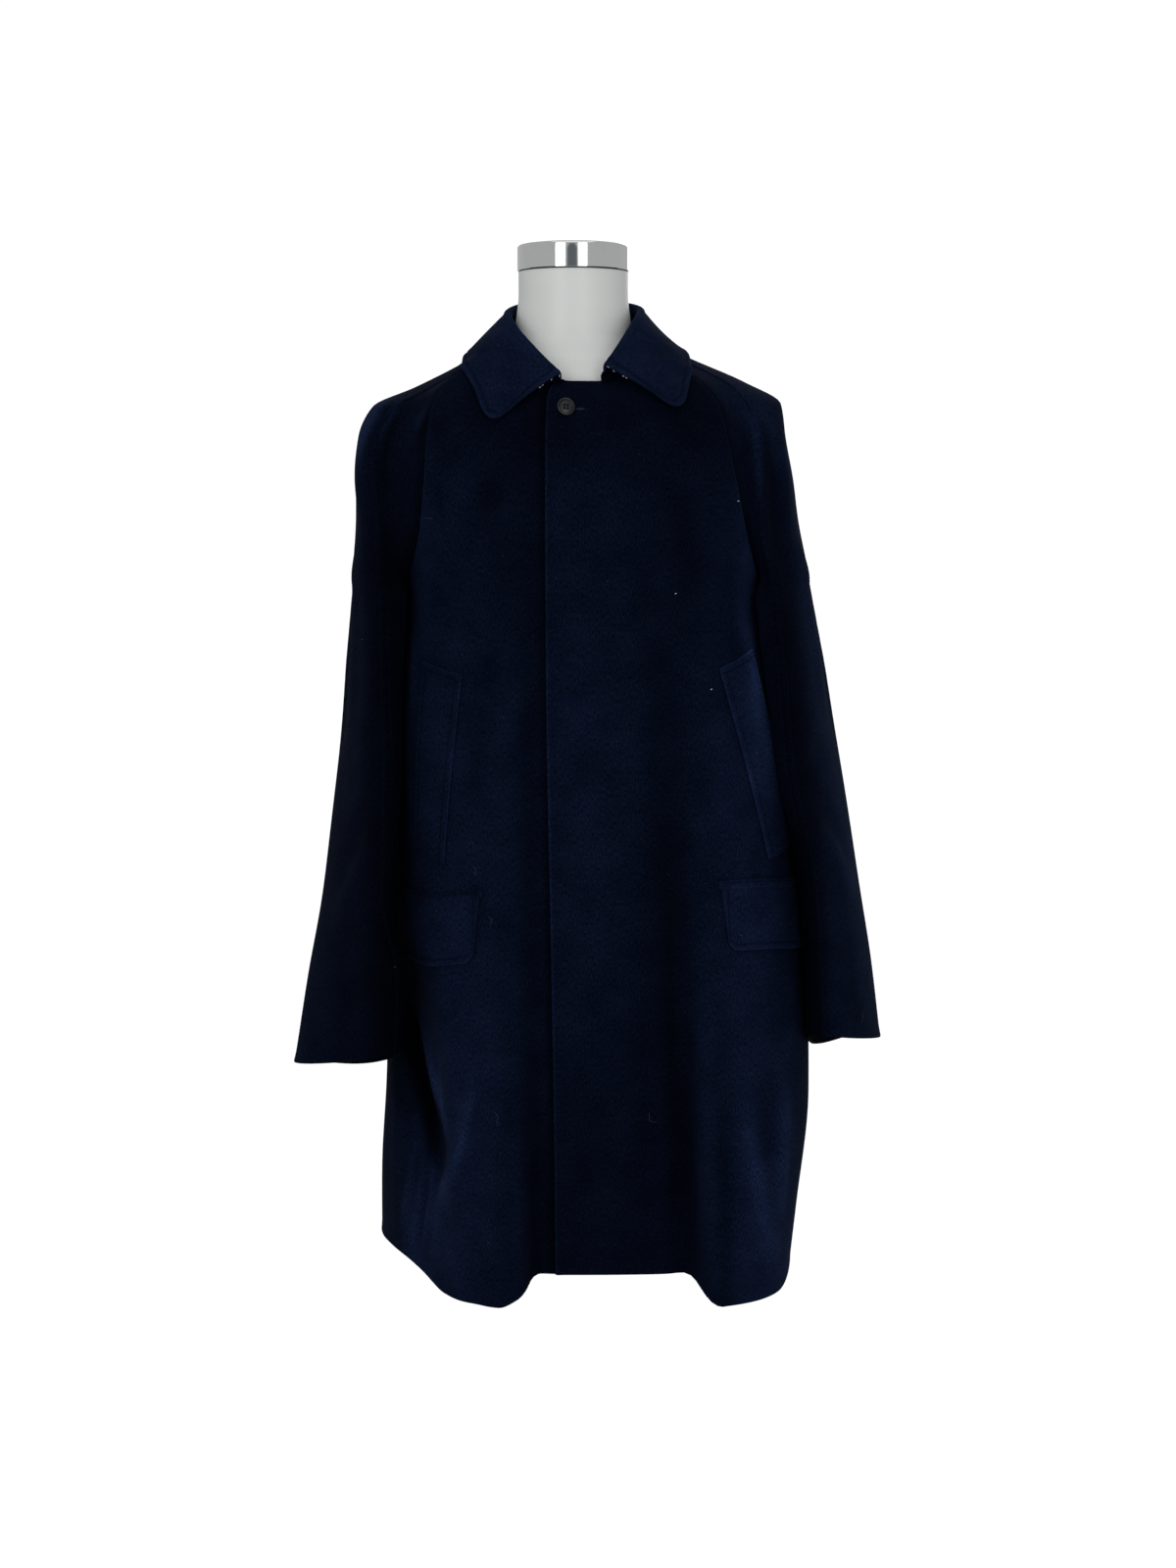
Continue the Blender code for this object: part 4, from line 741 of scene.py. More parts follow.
# %% [markdown]
# ## The wool
# The cloth is a dense navy overcoating that was milled until its weave almost closed, then brushed.
# From a metre away it is nearly black-blue, with a dusty bloom where it turns from the eye. Three
# things make that: a slightly mottled base colour, a sheen lobe for the fibres that stand up, and a
# fine bump from a twill that the nap half hides. The twill reads the UV map, so that it follows
# each panel; the mottling reads Object coordinates, so that it runs on across the seams.


# %% Helpers for nodes
def shader_nodes(name):
    """A new material, its node tree, and its Principled shader."""
    made = bpy.data.materials.new(name)
    made.use_nodes = True
    return made, made.node_tree, made.node_tree.nodes["Principled BSDF"]


def settings(node, **values):
    """Sets some inputs of a node, by name, or its own settings."""
    for name, value in values.items():
        label = name.replace("_", " ").title()
        if label in node.inputs:
            node.inputs[label].default_value = value
        else:
            setattr(node, name, value)
    return node


def add(tree, kind, **values):
    """A new node of a tree, with its settings."""
    return settings(tree.nodes.new(kind), **values)


def wire(tree, *links):
    """Joins sockets: each link is a node, its output, the next node, and that one's input."""
    for giver, output, taker, entry in links:
        tree.links.new(giver.outputs[output], taker.inputs[entry])


def ramp(tree, source, low, high, start=0.3, stop=0.7, output="Fac"):
    """A colour ramp from low to high over part of the range of a node's output."""
    node = add(tree, "ShaderNodeValToRGB")
    for element, position, colour in zip(node.color_ramp.elements, (start, stop), (low, high)):
        element.position, element.color = position, (*colour, 1)
    wire(tree, (source, output, node, "Fac"))
    return node


MIX_A, MIX_B, MIX_RESULT = 6, 7, 2  # the colour sockets of a Mix node, which share their names


# %% Wool
def wool_cloth(name, dark, light, sheen):
    """Brushed navy overcoating: mottled colour, half-hidden twill, a sheen of standing fibres and pale lint;
    the colour and the sheen are multiplied by the painted light and shade of each piece.
    """
    made, tree, shader = shader_nodes(name)
    place, cloth = add(tree, "ShaderNodeTexCoord"), add(tree, "ShaderNodeUVMap", uv_map="cloth")
    stretch = add(tree, "ShaderNodeMapping", scale=(1.0, 0.38, 1.0))
    blotch = add(tree, "ShaderNodeTexNoise", scale=26.0, detail=4.0, roughness=0.55)
    fibre = add(tree, "ShaderNodeTexNoise", scale=620.0, detail=3.0, roughness=0.75)
    speck = add(tree, "ShaderNodeTexNoise", scale=420.0, detail=1.0, roughness=0.5)
    twill = add(tree, "ShaderNodeTexWave", wave_type="BANDS", bands_direction="DIAGONAL", scale=190.0,
                distortion=2.6, detail=2.0, detail_scale=1.6)
    wire(tree, (place, "Object", blotch, "Vector"), (place, "Object", speck, "Vector"),
         (cloth, "UV", stretch, "Vector"), (stretch, "Vector", fibre, "Vector"),
         (cloth, "UV", twill, "Vector"))
    colour = ramp(tree, blotch, dark, light, 0.25, 0.78)
    fleck = ramp(tree, fibre, (0.28, 0.28, 0.28), (2.5, 2.5, 2.5), 0.32, 0.76)
    lint = ramp(tree, speck, (0, 0, 0), (1, 1, 1), 0.80, 0.83)
    shade = add(tree, "ShaderNodeMix", data_type="RGBA", blend_type="MULTIPLY", factor=1.0)
    dusted = add(tree, "ShaderNodeMix", data_type="RGBA")
    dusted.inputs[MIX_B].default_value = (0.024, 0.030, 0.046, 1)
    painted_shade_mix = add(tree, "ShaderNodeMix", data_type="RGBA", blend_type="MULTIPLY", factor=1.0)
    # The base colour and the sheen weight are multiplied by the painted light and shade that each piece
    # carries as an attribute.
    shading_attribute = add(tree, "ShaderNodeAttribute", attribute_name="painted_shading")
    sheen_times_painted_shade = add(tree, "ShaderNodeMath", operation="MULTIPLY")
    sheen_times_painted_shade.inputs[1].default_value = sheen
    height = add(tree, "ShaderNodeMath", operation="MULTIPLY_ADD")
    height.inputs[1].default_value = 0.35
    bump = add(tree, "ShaderNodeBump", strength=0.55, distance=0.0006)
    wire(tree, (colour, "Color", shade, MIX_A), (fleck, "Color", shade, MIX_B),
         (lint, "Color", dusted, "Factor"), (shade, MIX_RESULT, dusted, MIX_A),
         (dusted, MIX_RESULT, painted_shade_mix, MIX_A), (shading_attribute, "Fac", painted_shade_mix, MIX_B),
         (painted_shade_mix, MIX_RESULT, shader, "Base Color"),
         (shading_attribute, "Fac", sheen_times_painted_shade, 0), (sheen_times_painted_shade, "Value", shader, "Sheen Weight"),
         (twill, "Fac", height, 0), (fibre, "Fac", height, 2), (height, "Value", bump, "Height"),
         (bump, "Normal", shader, "Normal"))
    settings(shader, roughness=0.92, sheen_roughness=0.42, sheen_tint=(0.16, 0.28, 0.62, 1))
    shader.inputs["Specular IOR Level"].default_value = 0.012
    return made


# %% Hard finishes and threads
def smooth_finish(name, colour, roughness, metallic=0.0, mottle=0.06, scale=30.0, grain=0.0, coat=0.0,
                  shine=0.5):
    """A hard finish: an almost even colour, with faint uneven polish."""
    made, tree, shader = shader_nodes(name)
    place = add(tree, "ShaderNodeTexCoord")
    noise = add(tree, "ShaderNodeTexNoise", scale=scale, detail=4.0)
    low, high = [c * (1 - mottle) for c in colour], [min(1.0, c * (1 + mottle)) for c in colour]
    tone = ramp(tree, noise, low, high)
    polish = ramp(tree, noise, [roughness * 0.85] * 3, [roughness * 1.15] * 3)
    wire(tree, (place, "Object", noise, "Vector"), (tone, "Color", shader, "Base Color"),
         (polish, "Color", shader, "Roughness"))
    if grain:
        fine = add(tree, "ShaderNodeTexNoise", scale=scale * 40, detail=2.0)
        bump = add(tree, "ShaderNodeBump", strength=grain, distance=0.0002)
        wire(tree, (place, "Object", fine, "Vector"), (fine, "Fac", bump, "Height"),
             (bump, "Normal", shader, "Normal"))
    settings(shader, metallic=metallic, coat_weight=coat)
    shader.inputs["Specular IOR Level"].default_value = shine
    return made


# %% Materials of the coat and the form
WOOL = wool_cloth("navy_wool", (0.0009, 0.0020, 0.0064), (0.0021, 0.0039, 0.0114), 0.017)
YARN = {"scale": 900.0, "mottle": 0.3}
FLUFF = {"scale": 600.0, "roughness": 0.8}
THREAD = smooth_finish("navy_thread", (0.0026, 0.0050, 0.0150), 0.8, shine=0.03, **YARN)
GREY_THREAD = smooth_finish("slate_buttonhole_thread", (0.030, 0.034, 0.062), 0.8, shine=0.1, **YARN)
PALE_THREAD = smooth_finish("pale_basting_thread", (0.36, 0.355, 0.35), 0.7, scale=900.0, mottle=0.15,
                            shine=0.1)
LINT = smooth_finish("white_lint", (0.40, 0.40, 0.40), mottle=0.1, shine=0.1, **FLUFF)
DUST = smooth_finish("grey_fluff", (0.046, 0.050, 0.070), mottle=0.2, shine=0.05, **FLUFF)
HORN = smooth_finish("black_horn", (0.0046, 0.0054, 0.0070), 0.30, mottle=0.5, scale=160.0, grain=0.06,
                     shine=0.36)
PLASTIC = smooth_finish("white_form_plastic", (0.572, 0.587, 0.575), 0.42, mottle=0.02, scale=14.0,
                        grain=0.02, coat=0.04)
CHROME = smooth_finish("polished_chrome", (0.64, 0.65, 0.65), 0.07, metallic=1.0, mottle=0.02, scale=60.0)
# Painted shade for the recess between the chrome cap and the neck.
SHADED_GAP = smooth_finish("painted_shade_joint", (0.03, 0.03, 0.03), 0.6)
PAINT = smooth_finish("white_paint", (0.60, 0.61, 0.60), 0.42, mottle=0.03, scale=40.0, grain=0.05)
print("materials:", len(bpy.data.materials))

# %% [markdown]
# ## Cutting the panels
# All seven panels of the body and the sleeves are worked out first, because neighbours need each
# other: sewn edges share their normals, the right front slips under the left one, and the sleeves
# keep clear of the body. Near an edge the grid is about five times finer, for the pressed seams.


# %% Evening out a bend
def smooth_rows(points, first, last, times, hold):
    """Evens out a bend between rows, less and less towards the held side."""
    for _ in range(times):
        middle = (points[first - 1:last - 1] + 2 * points[first:last] + points[first + 1:last + 1]) / 4
        points[first:last] += (middle - points[first:last]) * hold
    return points


def from_axis(points):
    """Directions straight out from the body's axis."""
    return xyz(points[..., 0], points[..., 1], 0 * points[..., 2])


# %% Levels, the fly's edge and the lap
SKIRT_LENGTH, FRONT_WIDTH, LAPPED_WIDTH, BACK_WIDTH = 0.770, 0.33, 0.36, 0.54
LAPPED_CELL, BACK_CELL = 0.0036, 0.006
ROWS_ABOVE = 73                     # from the underarm to the neck, closer together near the neck
skirt_levels = graded(SKIRT_LENGTH, end=False)
rises_above = 1 - (1 - np.linspace(0, 1, ROWS_ABOVE)) ** 1.25
levels = np.concatenate([skirt_levels, 1 + rises_above[1:]])
under = len(skirt_levels) - 1       # the row at the underarm
centre_heights = np.where(levels > 1, read(YOKE, "front_z", levels - 1), levels * UNDERARM_Z)
fly_x = read(FLY_EDGE, "x", centre_heights)[:, None]
corner_width, corner_height = FLY_CORNER
near_top = np.clip(1 - (centre_heights[-1] - centre_heights) / corner_height, 0, 1)[:, None]
fly_x += corner_width * (1 - np.sqrt(1 - near_top ** 2))
fly = across_at_x(levels, fly_x[:, 0])[:, None]
lap = across_at_x(levels, LAP_END_X)[:, None]

# %% Grids of the panels
ROUNDED_ROWS, ROUNDED_TIMES = 14, 40                # rows each side of the underarm that are evened out
EVEN_FROM_SEAM, CREASE_FROM_SEAM = 0.03, 0.05       # sewn edges keep their place over these lengths
panels = {
    "front_left": body_row(levels[:, None], fly + (1 - fly) * graded(FRONT_WIDTH), True),
    "front_right": body_row(levels[:, None], lap + (-1 - lap) * graded(LAPPED_WIDTH, LAPPED_CELL), True),
    "back": body_row(levels[:, None], -1 + 2 * graded(BACK_WIDTH, BACK_CELL), False),
}
normals, painted_tones = {}, {}
for name, points in panels.items():
    back = name == "back"
    run = run_along(points, 1)
    rest = run[:, -1:] - run
    hold = ease(rest / EVEN_FROM_SEAM) * (ease(run / EVEN_FROM_SEAM) if back else 1.0)
    first, last = under - ROUNDED_ROWS, under + ROUNDED_ROWS + 1
    smooth_rows(points, first, last, ROUNDED_TIMES, hold[first:last, :, None])
    out = grid_normals(points, from_axis(points))
    moved = pressed(points[..., [0, 2]], BACK_CREASES if back else FRONT_CREASES)
    moved = moved * ease(rest / CREASE_FROM_SEAM) * (ease(run / CREASE_FROM_SEAM) if back else 1.0)
    points += out * moved[..., None]
    normals[name] = grid_normals(points, from_axis(points))
    # The fronts get painted light and shade from their streaks, with painted shade in the troughs of the
    # creases and painted light on their ridges.
    painted_tones[name] = painted_shading(points[..., [0, 2]], () if back else FRONT_PAINTED_SHADING, moved)
# The right front steps back as it passes under the left one.
lapped = ease((panels["front_right"][..., 0:1] - (fly_x[..., None] - 0.016)) / 0.012)
panels["front_right"] -= normals["front_right"] * lapped * (CLOTH + LAP_GAP)
print("body panels, rows x columns:", {name: points.shape[:2] for name, points in panels.items()})

# %% Grids of the sleeves
SLEEVE_LENGTH, HALF_WIDTHS = 0.52, {"front": 0.13, "back": 0.30}
# Painted light and shade of each whole sleeve.
SLEEVE_SHADE = {RIGHT: 0.95, LEFT: 1.15}
SEAM_SLOPE = 0.15                   # how fast a sleeve leaves the body beside their seam
both_sides = ((RIGHT, "right"), (LEFT, "left"))
HELD_TO, HELD_WIDTH = 0.16, 0.09    # rise and distance from the seam up to which a sleeve is held off
tube_rises = graded(SLEEVE_LENGTH, end=False) - 1
rises = np.concatenate([tube_rises[:-1], rises_above])
crook = len(tube_rises) - 1         # the row at the underarm
body_tree = outer_tree([(panels[name], normals[name]) for name in panels])
for side, wearer in both_sides:
    halves = {face: sleeve_half(side, face, rises, graded(width)) for face, width in HALF_WIDTHS.items()}
    middle = halves["back"].mean(axis=1, keepdims=True)
    for face, points in halves.items():
        round_arm = run_along(points, 1)
        rest = round_arm[:, -1:] - round_arm
        out = grid_normals(points, points - middle)
        places = np.stack([round_arm, points[..., 2]], -1)
        moved = pressed(places, SLEEVE_CREASES[side, face]) * ease(rest / 0.03) * ease(round_arm / 0.02)
        points += out * moved[..., None]
        name = f"sleeve_{wearer}_{face}"
        # The sleeves get painted light and shade from their streaks and their creases, times the painted tone
        # of the whole sleeve.
        painted_tones[name] = SLEEVE_SHADE[side] * painted_shading(points[..., [0, 2]], SLEEVE_PAINTED_SHADING[side], 0.6 * moved)
        for row in np.flatnonzero(rises < HELD_TO):
            from_seam = rest[row] - 0.2 * min(0.0, rises[row])
            low, high = ((points[row, 0, 2] - POCKETS_Z[0]) / 0.06, (POCKETS_Z[1] - points[row, 0, 2]) / 0.06)
            over_pockets = POCKET_CLEAR * ease(low) * ease(high)
            for column in range(points.shape[1] - (1 if rises[row] > -0.05 else 0)):
                if rises[row] < 0 or from_seam[column] < HELD_WIDTH:
                    wanted = min(UNDERARM_CLEAR, SEAM_GAP + SEAM_SLOPE * from_seam[column])
                    wanted = wanted * ease((0.2 - rises[row]) / 0.2) + over_pockets
                    points[row, column] = held_off(points[row, column], body_tree, wanted)
        panels[name] = points
        normals[name] = grid_normals(points, points - middle)
        print(name, "rows x columns:", points.shape[:2])


# %% [markdown]
# ## Sewing the panels
# A seam on the real coat is never a mere line. Where the front and the back half of the sleeve meet,
# one edge is lapped over the other and topstitched; the raglan seam leaves the front panel standing
# a little proud of the sleeve; side seams are pressed open and show as a shallow groove. Each kind
# of seam is a short relief, measured from the panel's edge and added to the outer face alone, so the
# wall stays closed and its inner face stays clear of the next panel.


# %% Seams
def shared(first, second, ridge):
    """The edge normals of two sewn panels: their mean on a ridge, each one's own in a tight valley."""
    mean = unit(first + second)
    use_mean = 1.0 if ridge else ease((np.sum(first * second, axis=-1, keepdims=True) + 0.7) / 0.5)
    return unit(first + (mean - first) * use_mean), unit(second + (mean - second) * use_mean)


def pull_back(points, column, gap=SEAM_GAP / 2):
    """Moves one edge column of a panel back from its seam, within the panel."""
    beside = 1 if column == 0 else -2
    points[:, column] += unit(points[:, beside] - points[:, column]) * gap


# %% Reliefs of the seams, and the painted highlights and shadows beside them
LAPPED = table("from_edge height", (0.0, 0.0003), (0.0012, 0.0010), (0.0045, 0.0009), (0.0064, 0.0003),
               (0.0084, 0.0006), (0.013, 0.0))
PROUD = table("from_edge height", (0.0, 0.0000), (0.0014, 0.0007), (0.006, 0.0007), (0.013, 0.0))
OPEN = table("from_edge height", (0.0, -0.0007), (0.0012, -0.0002), (0.0032, 0.0003), (0.009, 0.0))
TURNED = table("from_edge height", (0.0, 0.0002), (0.0016, 0.0007), (0.006, 0.0004), (0.013, 0.0))

# Painted light and shade beside an edge: how much paler or darker it is there, and over which distance.
HEM_HIGHLIGHT, FLY_HIGHLIGHT, RAGLAN_HIGHLIGHT = (1.3, 0.003), (2.1, 0.0035), (1.8, 0.0035)
LAP_SHADOW, RAGLAN_SHADOW = (0.40, 0.010), (0.45, 0.016)


def relief(kind, from_edge):
    """Height of a seam's relief at a distance from the edge."""
    return read(kind, "height", from_edge)


def beside(from_edge, change, reach):
    """Painted light and shade beside an edge: the tone changes there by a factor that dies away over a reach.
    """
    return np.exp(math.log(change) * swell(from_edge, reach))


# %% Sewing the edges
below, above = slice(0, under + 1), slice(under, None)
tube, cap, whole = slice(0, crook + 1), slice(crook, None), slice(None)
for wearer, back_column in (("right", 0), ("left", -1)):
    front, fore, aft = f"front_{wearer}", f"sleeve_{wearer}_front", f"sleeve_{wearer}_back"
    for one, other in (                             # each sewn edge as (panel, column, rows)
            ((front, -1, below), ("back", back_column, below)),
            ((front, -1, above), (fore, -1, cap)),
            (("back", back_column, above), (aft, -1, cap)),
            ((fore, -1, tube), (aft, -1, tube)),
            ((fore, 0, whole), (aft, 0, whole))):
        edges = [normals[name][rows, column] for name, column, rows in (one, other)]
        sewn = shared(*edges, ridge=one[1] == other[1] == 0)
        for (name, column, rows), edge in zip((one, other), sewn):
            normals[name][rows, column] = edge
    for name, column in ((front, -1), ("back", back_column), (fore, -1), (aft, -1), (fore, 0), (aft, 0)):
        pull_back(panels[name], column)

# %% Walls of the panels
outers = {}
for name, points in panels.items():
    run, up = run_along(points, 1), run_along(points, 0)
    rest = run[:, -1:] - run
    height = relief(TURNED, up) * ease((0.03 - up) / 0.01)
    over = (np.arange(len(points)) >= (crook if "sleeve" in name else under))[:, None]
    # The tone is painted light and shade: painted highlights along the hem, the fly's edge and the front's
    # raglan edge, and painted shadow beside the fly on the right front and beside the raglan seam on the
    # sleeves.
    tone = painted_tones[name] * beside(up, *HEM_HIGHLIGHT)
    if name.startswith("front"):
        height = height + np.where(over, relief(PROUD, rest), relief(OPEN, rest))
        if name == "front_left":
            height = height + relief(TURNED, run)
            tone = tone * beside(run, *FLY_HIGHLIGHT)
        else:
            tone = tone * beside(points[..., 0] - fly_x + 0.001, *LAP_SHADOW)
        tone = tone * np.where(over, beside(rest, *RAGLAN_HIGHLIGHT), 1.0)
    elif name == "back":
        height = height + relief(OPEN, rest) + relief(OPEN, run)
    elif name.endswith("back"):
        height = height + relief(OPEN, rest) + relief(LAPPED, run)
    else:
        height = height + relief(OPEN, rest) + relief(OPEN, run)
        tone = tone * np.where(over, beside(rest, *RAGLAN_SHADOW), 1.0)
    outers[name] = points + normals[name] * height[..., None]
    inner, bulge = points - normals[name] * CLOTH, 0.5 if name == "front_left" else 0.25
    cloth_wall(f"cloth_{name}", outers[name], inner, np.stack([run, up], -1), WOOL, bulge, tone)
print("panels sewn:", len(outers))

# %% [markdown]
# ## The collar
# The collar is two pieces: a stand that rises from the neckline, and a fall that rolls over it and
# lies on the shoulders. A spoke runs out over each place along the neckline: up the stand, round
# the roll on a small arc, and down the fall. Where a spoke would sink into the coat it is held off
# the cloth, so the fall rests on the shoulders as a real one does.

# %% Measurements of the collar
COLLAR = {
    RIGHT: table(
        "along  roll_x  roll_y  roll_z   edge_x  edge_y  edge_z   bow",
        (0.00,   0.000,  0.073, 1.104,    0.000,  0.112, 1.044,   0.004),
        (0.30,  -0.058,  0.050, 1.100,   -0.090,  0.076, 1.044,   0.004),
        (0.50,  -0.0720, 0.000, 1.0885,  -0.121,  0.000, 1.0440,  0.001),
        (0.70,  -0.063, -0.050, 1.070,   -0.120, -0.056, 1.0290,  0.004),
        (0.86,  -0.041, -0.083, 1.0450,  -0.1005, -0.108, 0.9960, 0.005),
        (1.00,  -0.0155, -0.1010, 1.0198, -0.0880, -0.1400, 0.9625, 0.003),
    ),
    LEFT: table(
        "along  roll_x  roll_y  roll_z   edge_x  edge_y  edge_z   bow",
        (0.00,   0.000,  0.073, 1.104,    0.000,  0.112, 1.044,   0.004),
        (0.30,   0.058,  0.050, 1.101,    0.092,  0.076, 1.046,   0.003),
        (0.50,   0.0740, 0.000, 1.0915,   0.125,  0.000, 1.0480,  -0.002),
        (0.70,   0.067, -0.050, 1.076,    0.127, -0.056, 1.0340,  0.001),
        (0.86,   0.053, -0.083, 1.0530,   0.1210, -0.104, 1.0030,  0.004),
        (1.00,   0.036, -0.0990, 1.0280,  0.1150, -0.1320, 0.9785, 0.003),
    ),
}
ROLL_RADIUS, ROLL_END_RADIUS = 0.0048, 0.0042
COLLAR_CORNER = (0.10, 0.27)        # rounding of each collar point: share of its length and width
COLLAR_CLEAR = 0.0034
STITCH_IN = 0.0065                  # how far a topstitch lies in from the edge
STAND_ROWS, TURN_ROWS = 9, 10       # rows of a spoke up the stand, and round the roll
COLLAR_DEPTH, COLLAR_HALF = 0.062, 0.29             # the fall's depth, and half of its length
FOOT_UP, FOOT_UP_FRONT, FOOT_IN = 0.0016, 0.0022, 0.0012
TUCK_DOWN, TUCK_IN = 0.0055, 0.0040                 # the stand's foot is sewn in behind the coat's edge
SETTLING = 3                        # times that the fall is laid on the coat and evened out
EDGED = table("from_edge height", (0.0, 0.0), (0.0015, 0.0006), (0.0045, 0.0006), (0.0065, -0.0001),
              (0.0085, 0.0005), (0.014, 0.0))


# %% Spokes of the collar
def neckline(side):
    """One side's neckline from the centre back to the centre front, and its direction there."""
    share = np.linspace(0, 1, 41)
    halves = {face: sleeve_half(side, face, [0.96, 1.0], share)[1] for face in ("back", "front")}
    ring = np.concatenate([body_row(2.0, side * share, False), halves["back"][::-1], halves["front"],
                           body_row(2.0, side * share[::-1], True)])
    return ring, np.abs(np.arctan2(ring[:, 0], ring[:, 1]))


def collar_profile(side, share, ring, direction, drop):
    """One spoke of the collar, from its foot over the roll to its free edge, and the roll's middle."""
    roll, edge = (np.array([read(COLLAR[side], f"{line}_{axis}", share) for axis in "xyz"])
                  for line in ("roll", "edge"))
    bow = float(read(COLLAR[side], "bow", share))
    up, outward = np.array([0, 0, 1.0]), unit(np.array([edge[0] - roll[0], edge[1] - roll[1], 0.0]))
    length, width = COLLAR_CORNER
    past = max(0.0, (share - (1 - length)) / length)
    full = 1 - width * (1 - math.sqrt(max(0.0, 1 - past * past)))
    below = math.atan2(abs(roll[0]), roll[1])
    foot = np.array([np.interp(below, direction, ring[:, axis]) for axis in range(3)])
    foot += up * (FOOT_UP + FOOT_UP_FRONT * ease((share - 0.5) / 0.3)) - outward * FOOT_IN
    radius = ROLL_RADIUS - (ROLL_RADIUS - ROLL_END_RADIUS) * ease((share - 0.7) / 0.3)
    head = roll - outward * radius - up * radius
    stand = [foot + (head - foot) * t for t in np.linspace(0, 1, STAND_ROWS)]
    turn = [roll - outward * radius * math.cos(angle) + up * radius * math.sin(angle)
            for angle in np.linspace(0, math.pi, TURN_ROWS)]
    fall = [turn[-1] + (edge - turn[-1]) * t * full
            + (outward + up) * 0.7 * bow * math.sin(math.pi * t * full) for t in drop[1:]]
    return stand + turn + fall, roll


# %% Laying the collar on the coat
collar_drop = graded(COLLAR_DEPTH, 0.0035, start=False)
half_places = graded(COLLAR_HALF, 0.004, start=False)
places = np.concatenate([-half_places[:0:-1], half_places])
necklines = {side: neckline(side) for side in (RIGHT, LEFT)}
spokes = []
for place in places:
    side = LEFT if place > 0 else RIGHT
    spokes.append(collar_profile(side, abs(place), *necklines[side], collar_drop))
profiles, rolls = (np.array(part) for part in zip(*spokes))
upper_rows = {name: slice((crook if "sleeve" in name else under) - 8, None) for name in outers}
coat_tree = outer_tree([(outers[name][rows], normals[name][rows]) for name, rows in upper_rows.items()])
FIRST_FALL = STAND_ROWS + TURN_ROWS                 # the first row of the fall
for _ in range(SETTLING):
    for column in range(len(profiles)):
        for row in range(FIRST_FALL, profiles.shape[1]):
            profiles[column, row] = held_off(profiles[column, row], coat_tree, COLLAR_CLOTH + COLLAR_CLEAR)
    body = profiles[1:-1, FIRST_FALL:]
    profiles[1:-1, FIRST_FALL:] = (profiles[:-2, FIRST_FALL:] + 2 * body + profiles[2:, FIRST_FALL:]) / 4
HEAD = STAND_ROWS - 1                               # the row where the stand meets the fall
middle = profiles[:, HEAD:STAND_ROWS].mean(axis=0, keepdims=True)
lying = (np.arange(profiles.shape[1]) > FIRST_FALL)[None, :, None]
collar_out = grid_normals(profiles, (profiles - middle) * lying)
collar_out[:, STAND_ROWS:FIRST_FALL] = unit(profiles[:, STAND_ROWS:FIRST_FALL] - rolls[:, None])
stand, fall, fall_out = profiles[:, :STAND_ROWS].copy(), profiles[:, HEAD:].copy(), collar_out[:, HEAD:]
inwards = unit(xyz(*collar_out[:, 0].T[:2], 0 * places))
foot_first = np.linspace(1, 0, STAND_ROWS)[None, :, None] ** 1.5
stand += (np.array([0, 0, -TUCK_DOWN]) - inwards * TUCK_IN)[:, None] * foot_first
stand[:, -1] += unit(stand[:, -2] - stand[:, -1]) * SEAM_GAP / 2
fall[:, 0] += unit(fall[:, 1] - fall[:, 0]) * SEAM_GAP / 2
print("collar places:", len(places), "fall rows:", fall.shape[1])

# %% Ends and edges of the collar
# The stand goes on past the fall, lower and lower: its end, a step in x, and a share of the height.
ENDS = ((0, 0.0072, 0.15), (0, 0.0048, 0.5), (0, 0.0024, 0.85), (-1, -0.0014, 0.9), (-1, -0.0028, 0.6))
past = {end: [stand[end, :1] + (stand[end] - stand[end, :1]) * height + np.array([step, 0, 0])
              for k, step, height in ENDS if k == end] for end in (0, -1)}
stand = np.concatenate([past[0], stand, past[-1]])
stand_out = collar_out[:, :STAND_ROWS]
stand_out = np.concatenate([np.repeat(stand_out[:1], len(past[0]), 0), stand_out,
                            np.repeat(stand_out[-1:], len(past[-1]), 0)])
along, down = run_along(fall, 0), run_along(fall, 1)
from_edge = np.minimum(np.minimum(along, along[-1:] - along), down[:, -1:] - down)
collar_outer = fall + fall_out * relief(EDGED, from_edge)[..., None]
# Painted light on the collar, palest near its roll, with a painted highlight along its edge and painted shade
# in its stitching groove.
collar_painted_tone = 2.15 - 0.6 * ease(down / 0.055)
collar_painted_tone = collar_painted_tone * beside(from_edge, 1.35, 0.004) * beside(from_edge - STITCH_IN, 0.6, 0.0022)
cloth_wall("cloth_collar_fall", collar_outer, fall - fall_out * COLLAR_CLOTH, np.stack([along, down], -1),
           WOOL, 0.6, collar_painted_tone)
cloth_wall("cloth_collar_stand", stand, stand - stand_out * COLLAR_CLOTH,
           np.stack([run_along(stand, 0), run_along(stand, 1)], -1), WOOL, 0.3)
print("length of the collar's free edge, m:", round(float(along[-1, -1]), 3))

# %% [markdown]
# ## The pockets
# The hand pockets have an upright welt: a folded band that is sewn down at its two ends and along
# its inner edge, and open towards the side. The lower pockets have a flap that hangs from a narrow
# jet. Each is a small patch that is laid on the front by distance from the centre and by height, so
# it bends with the cloth under it.

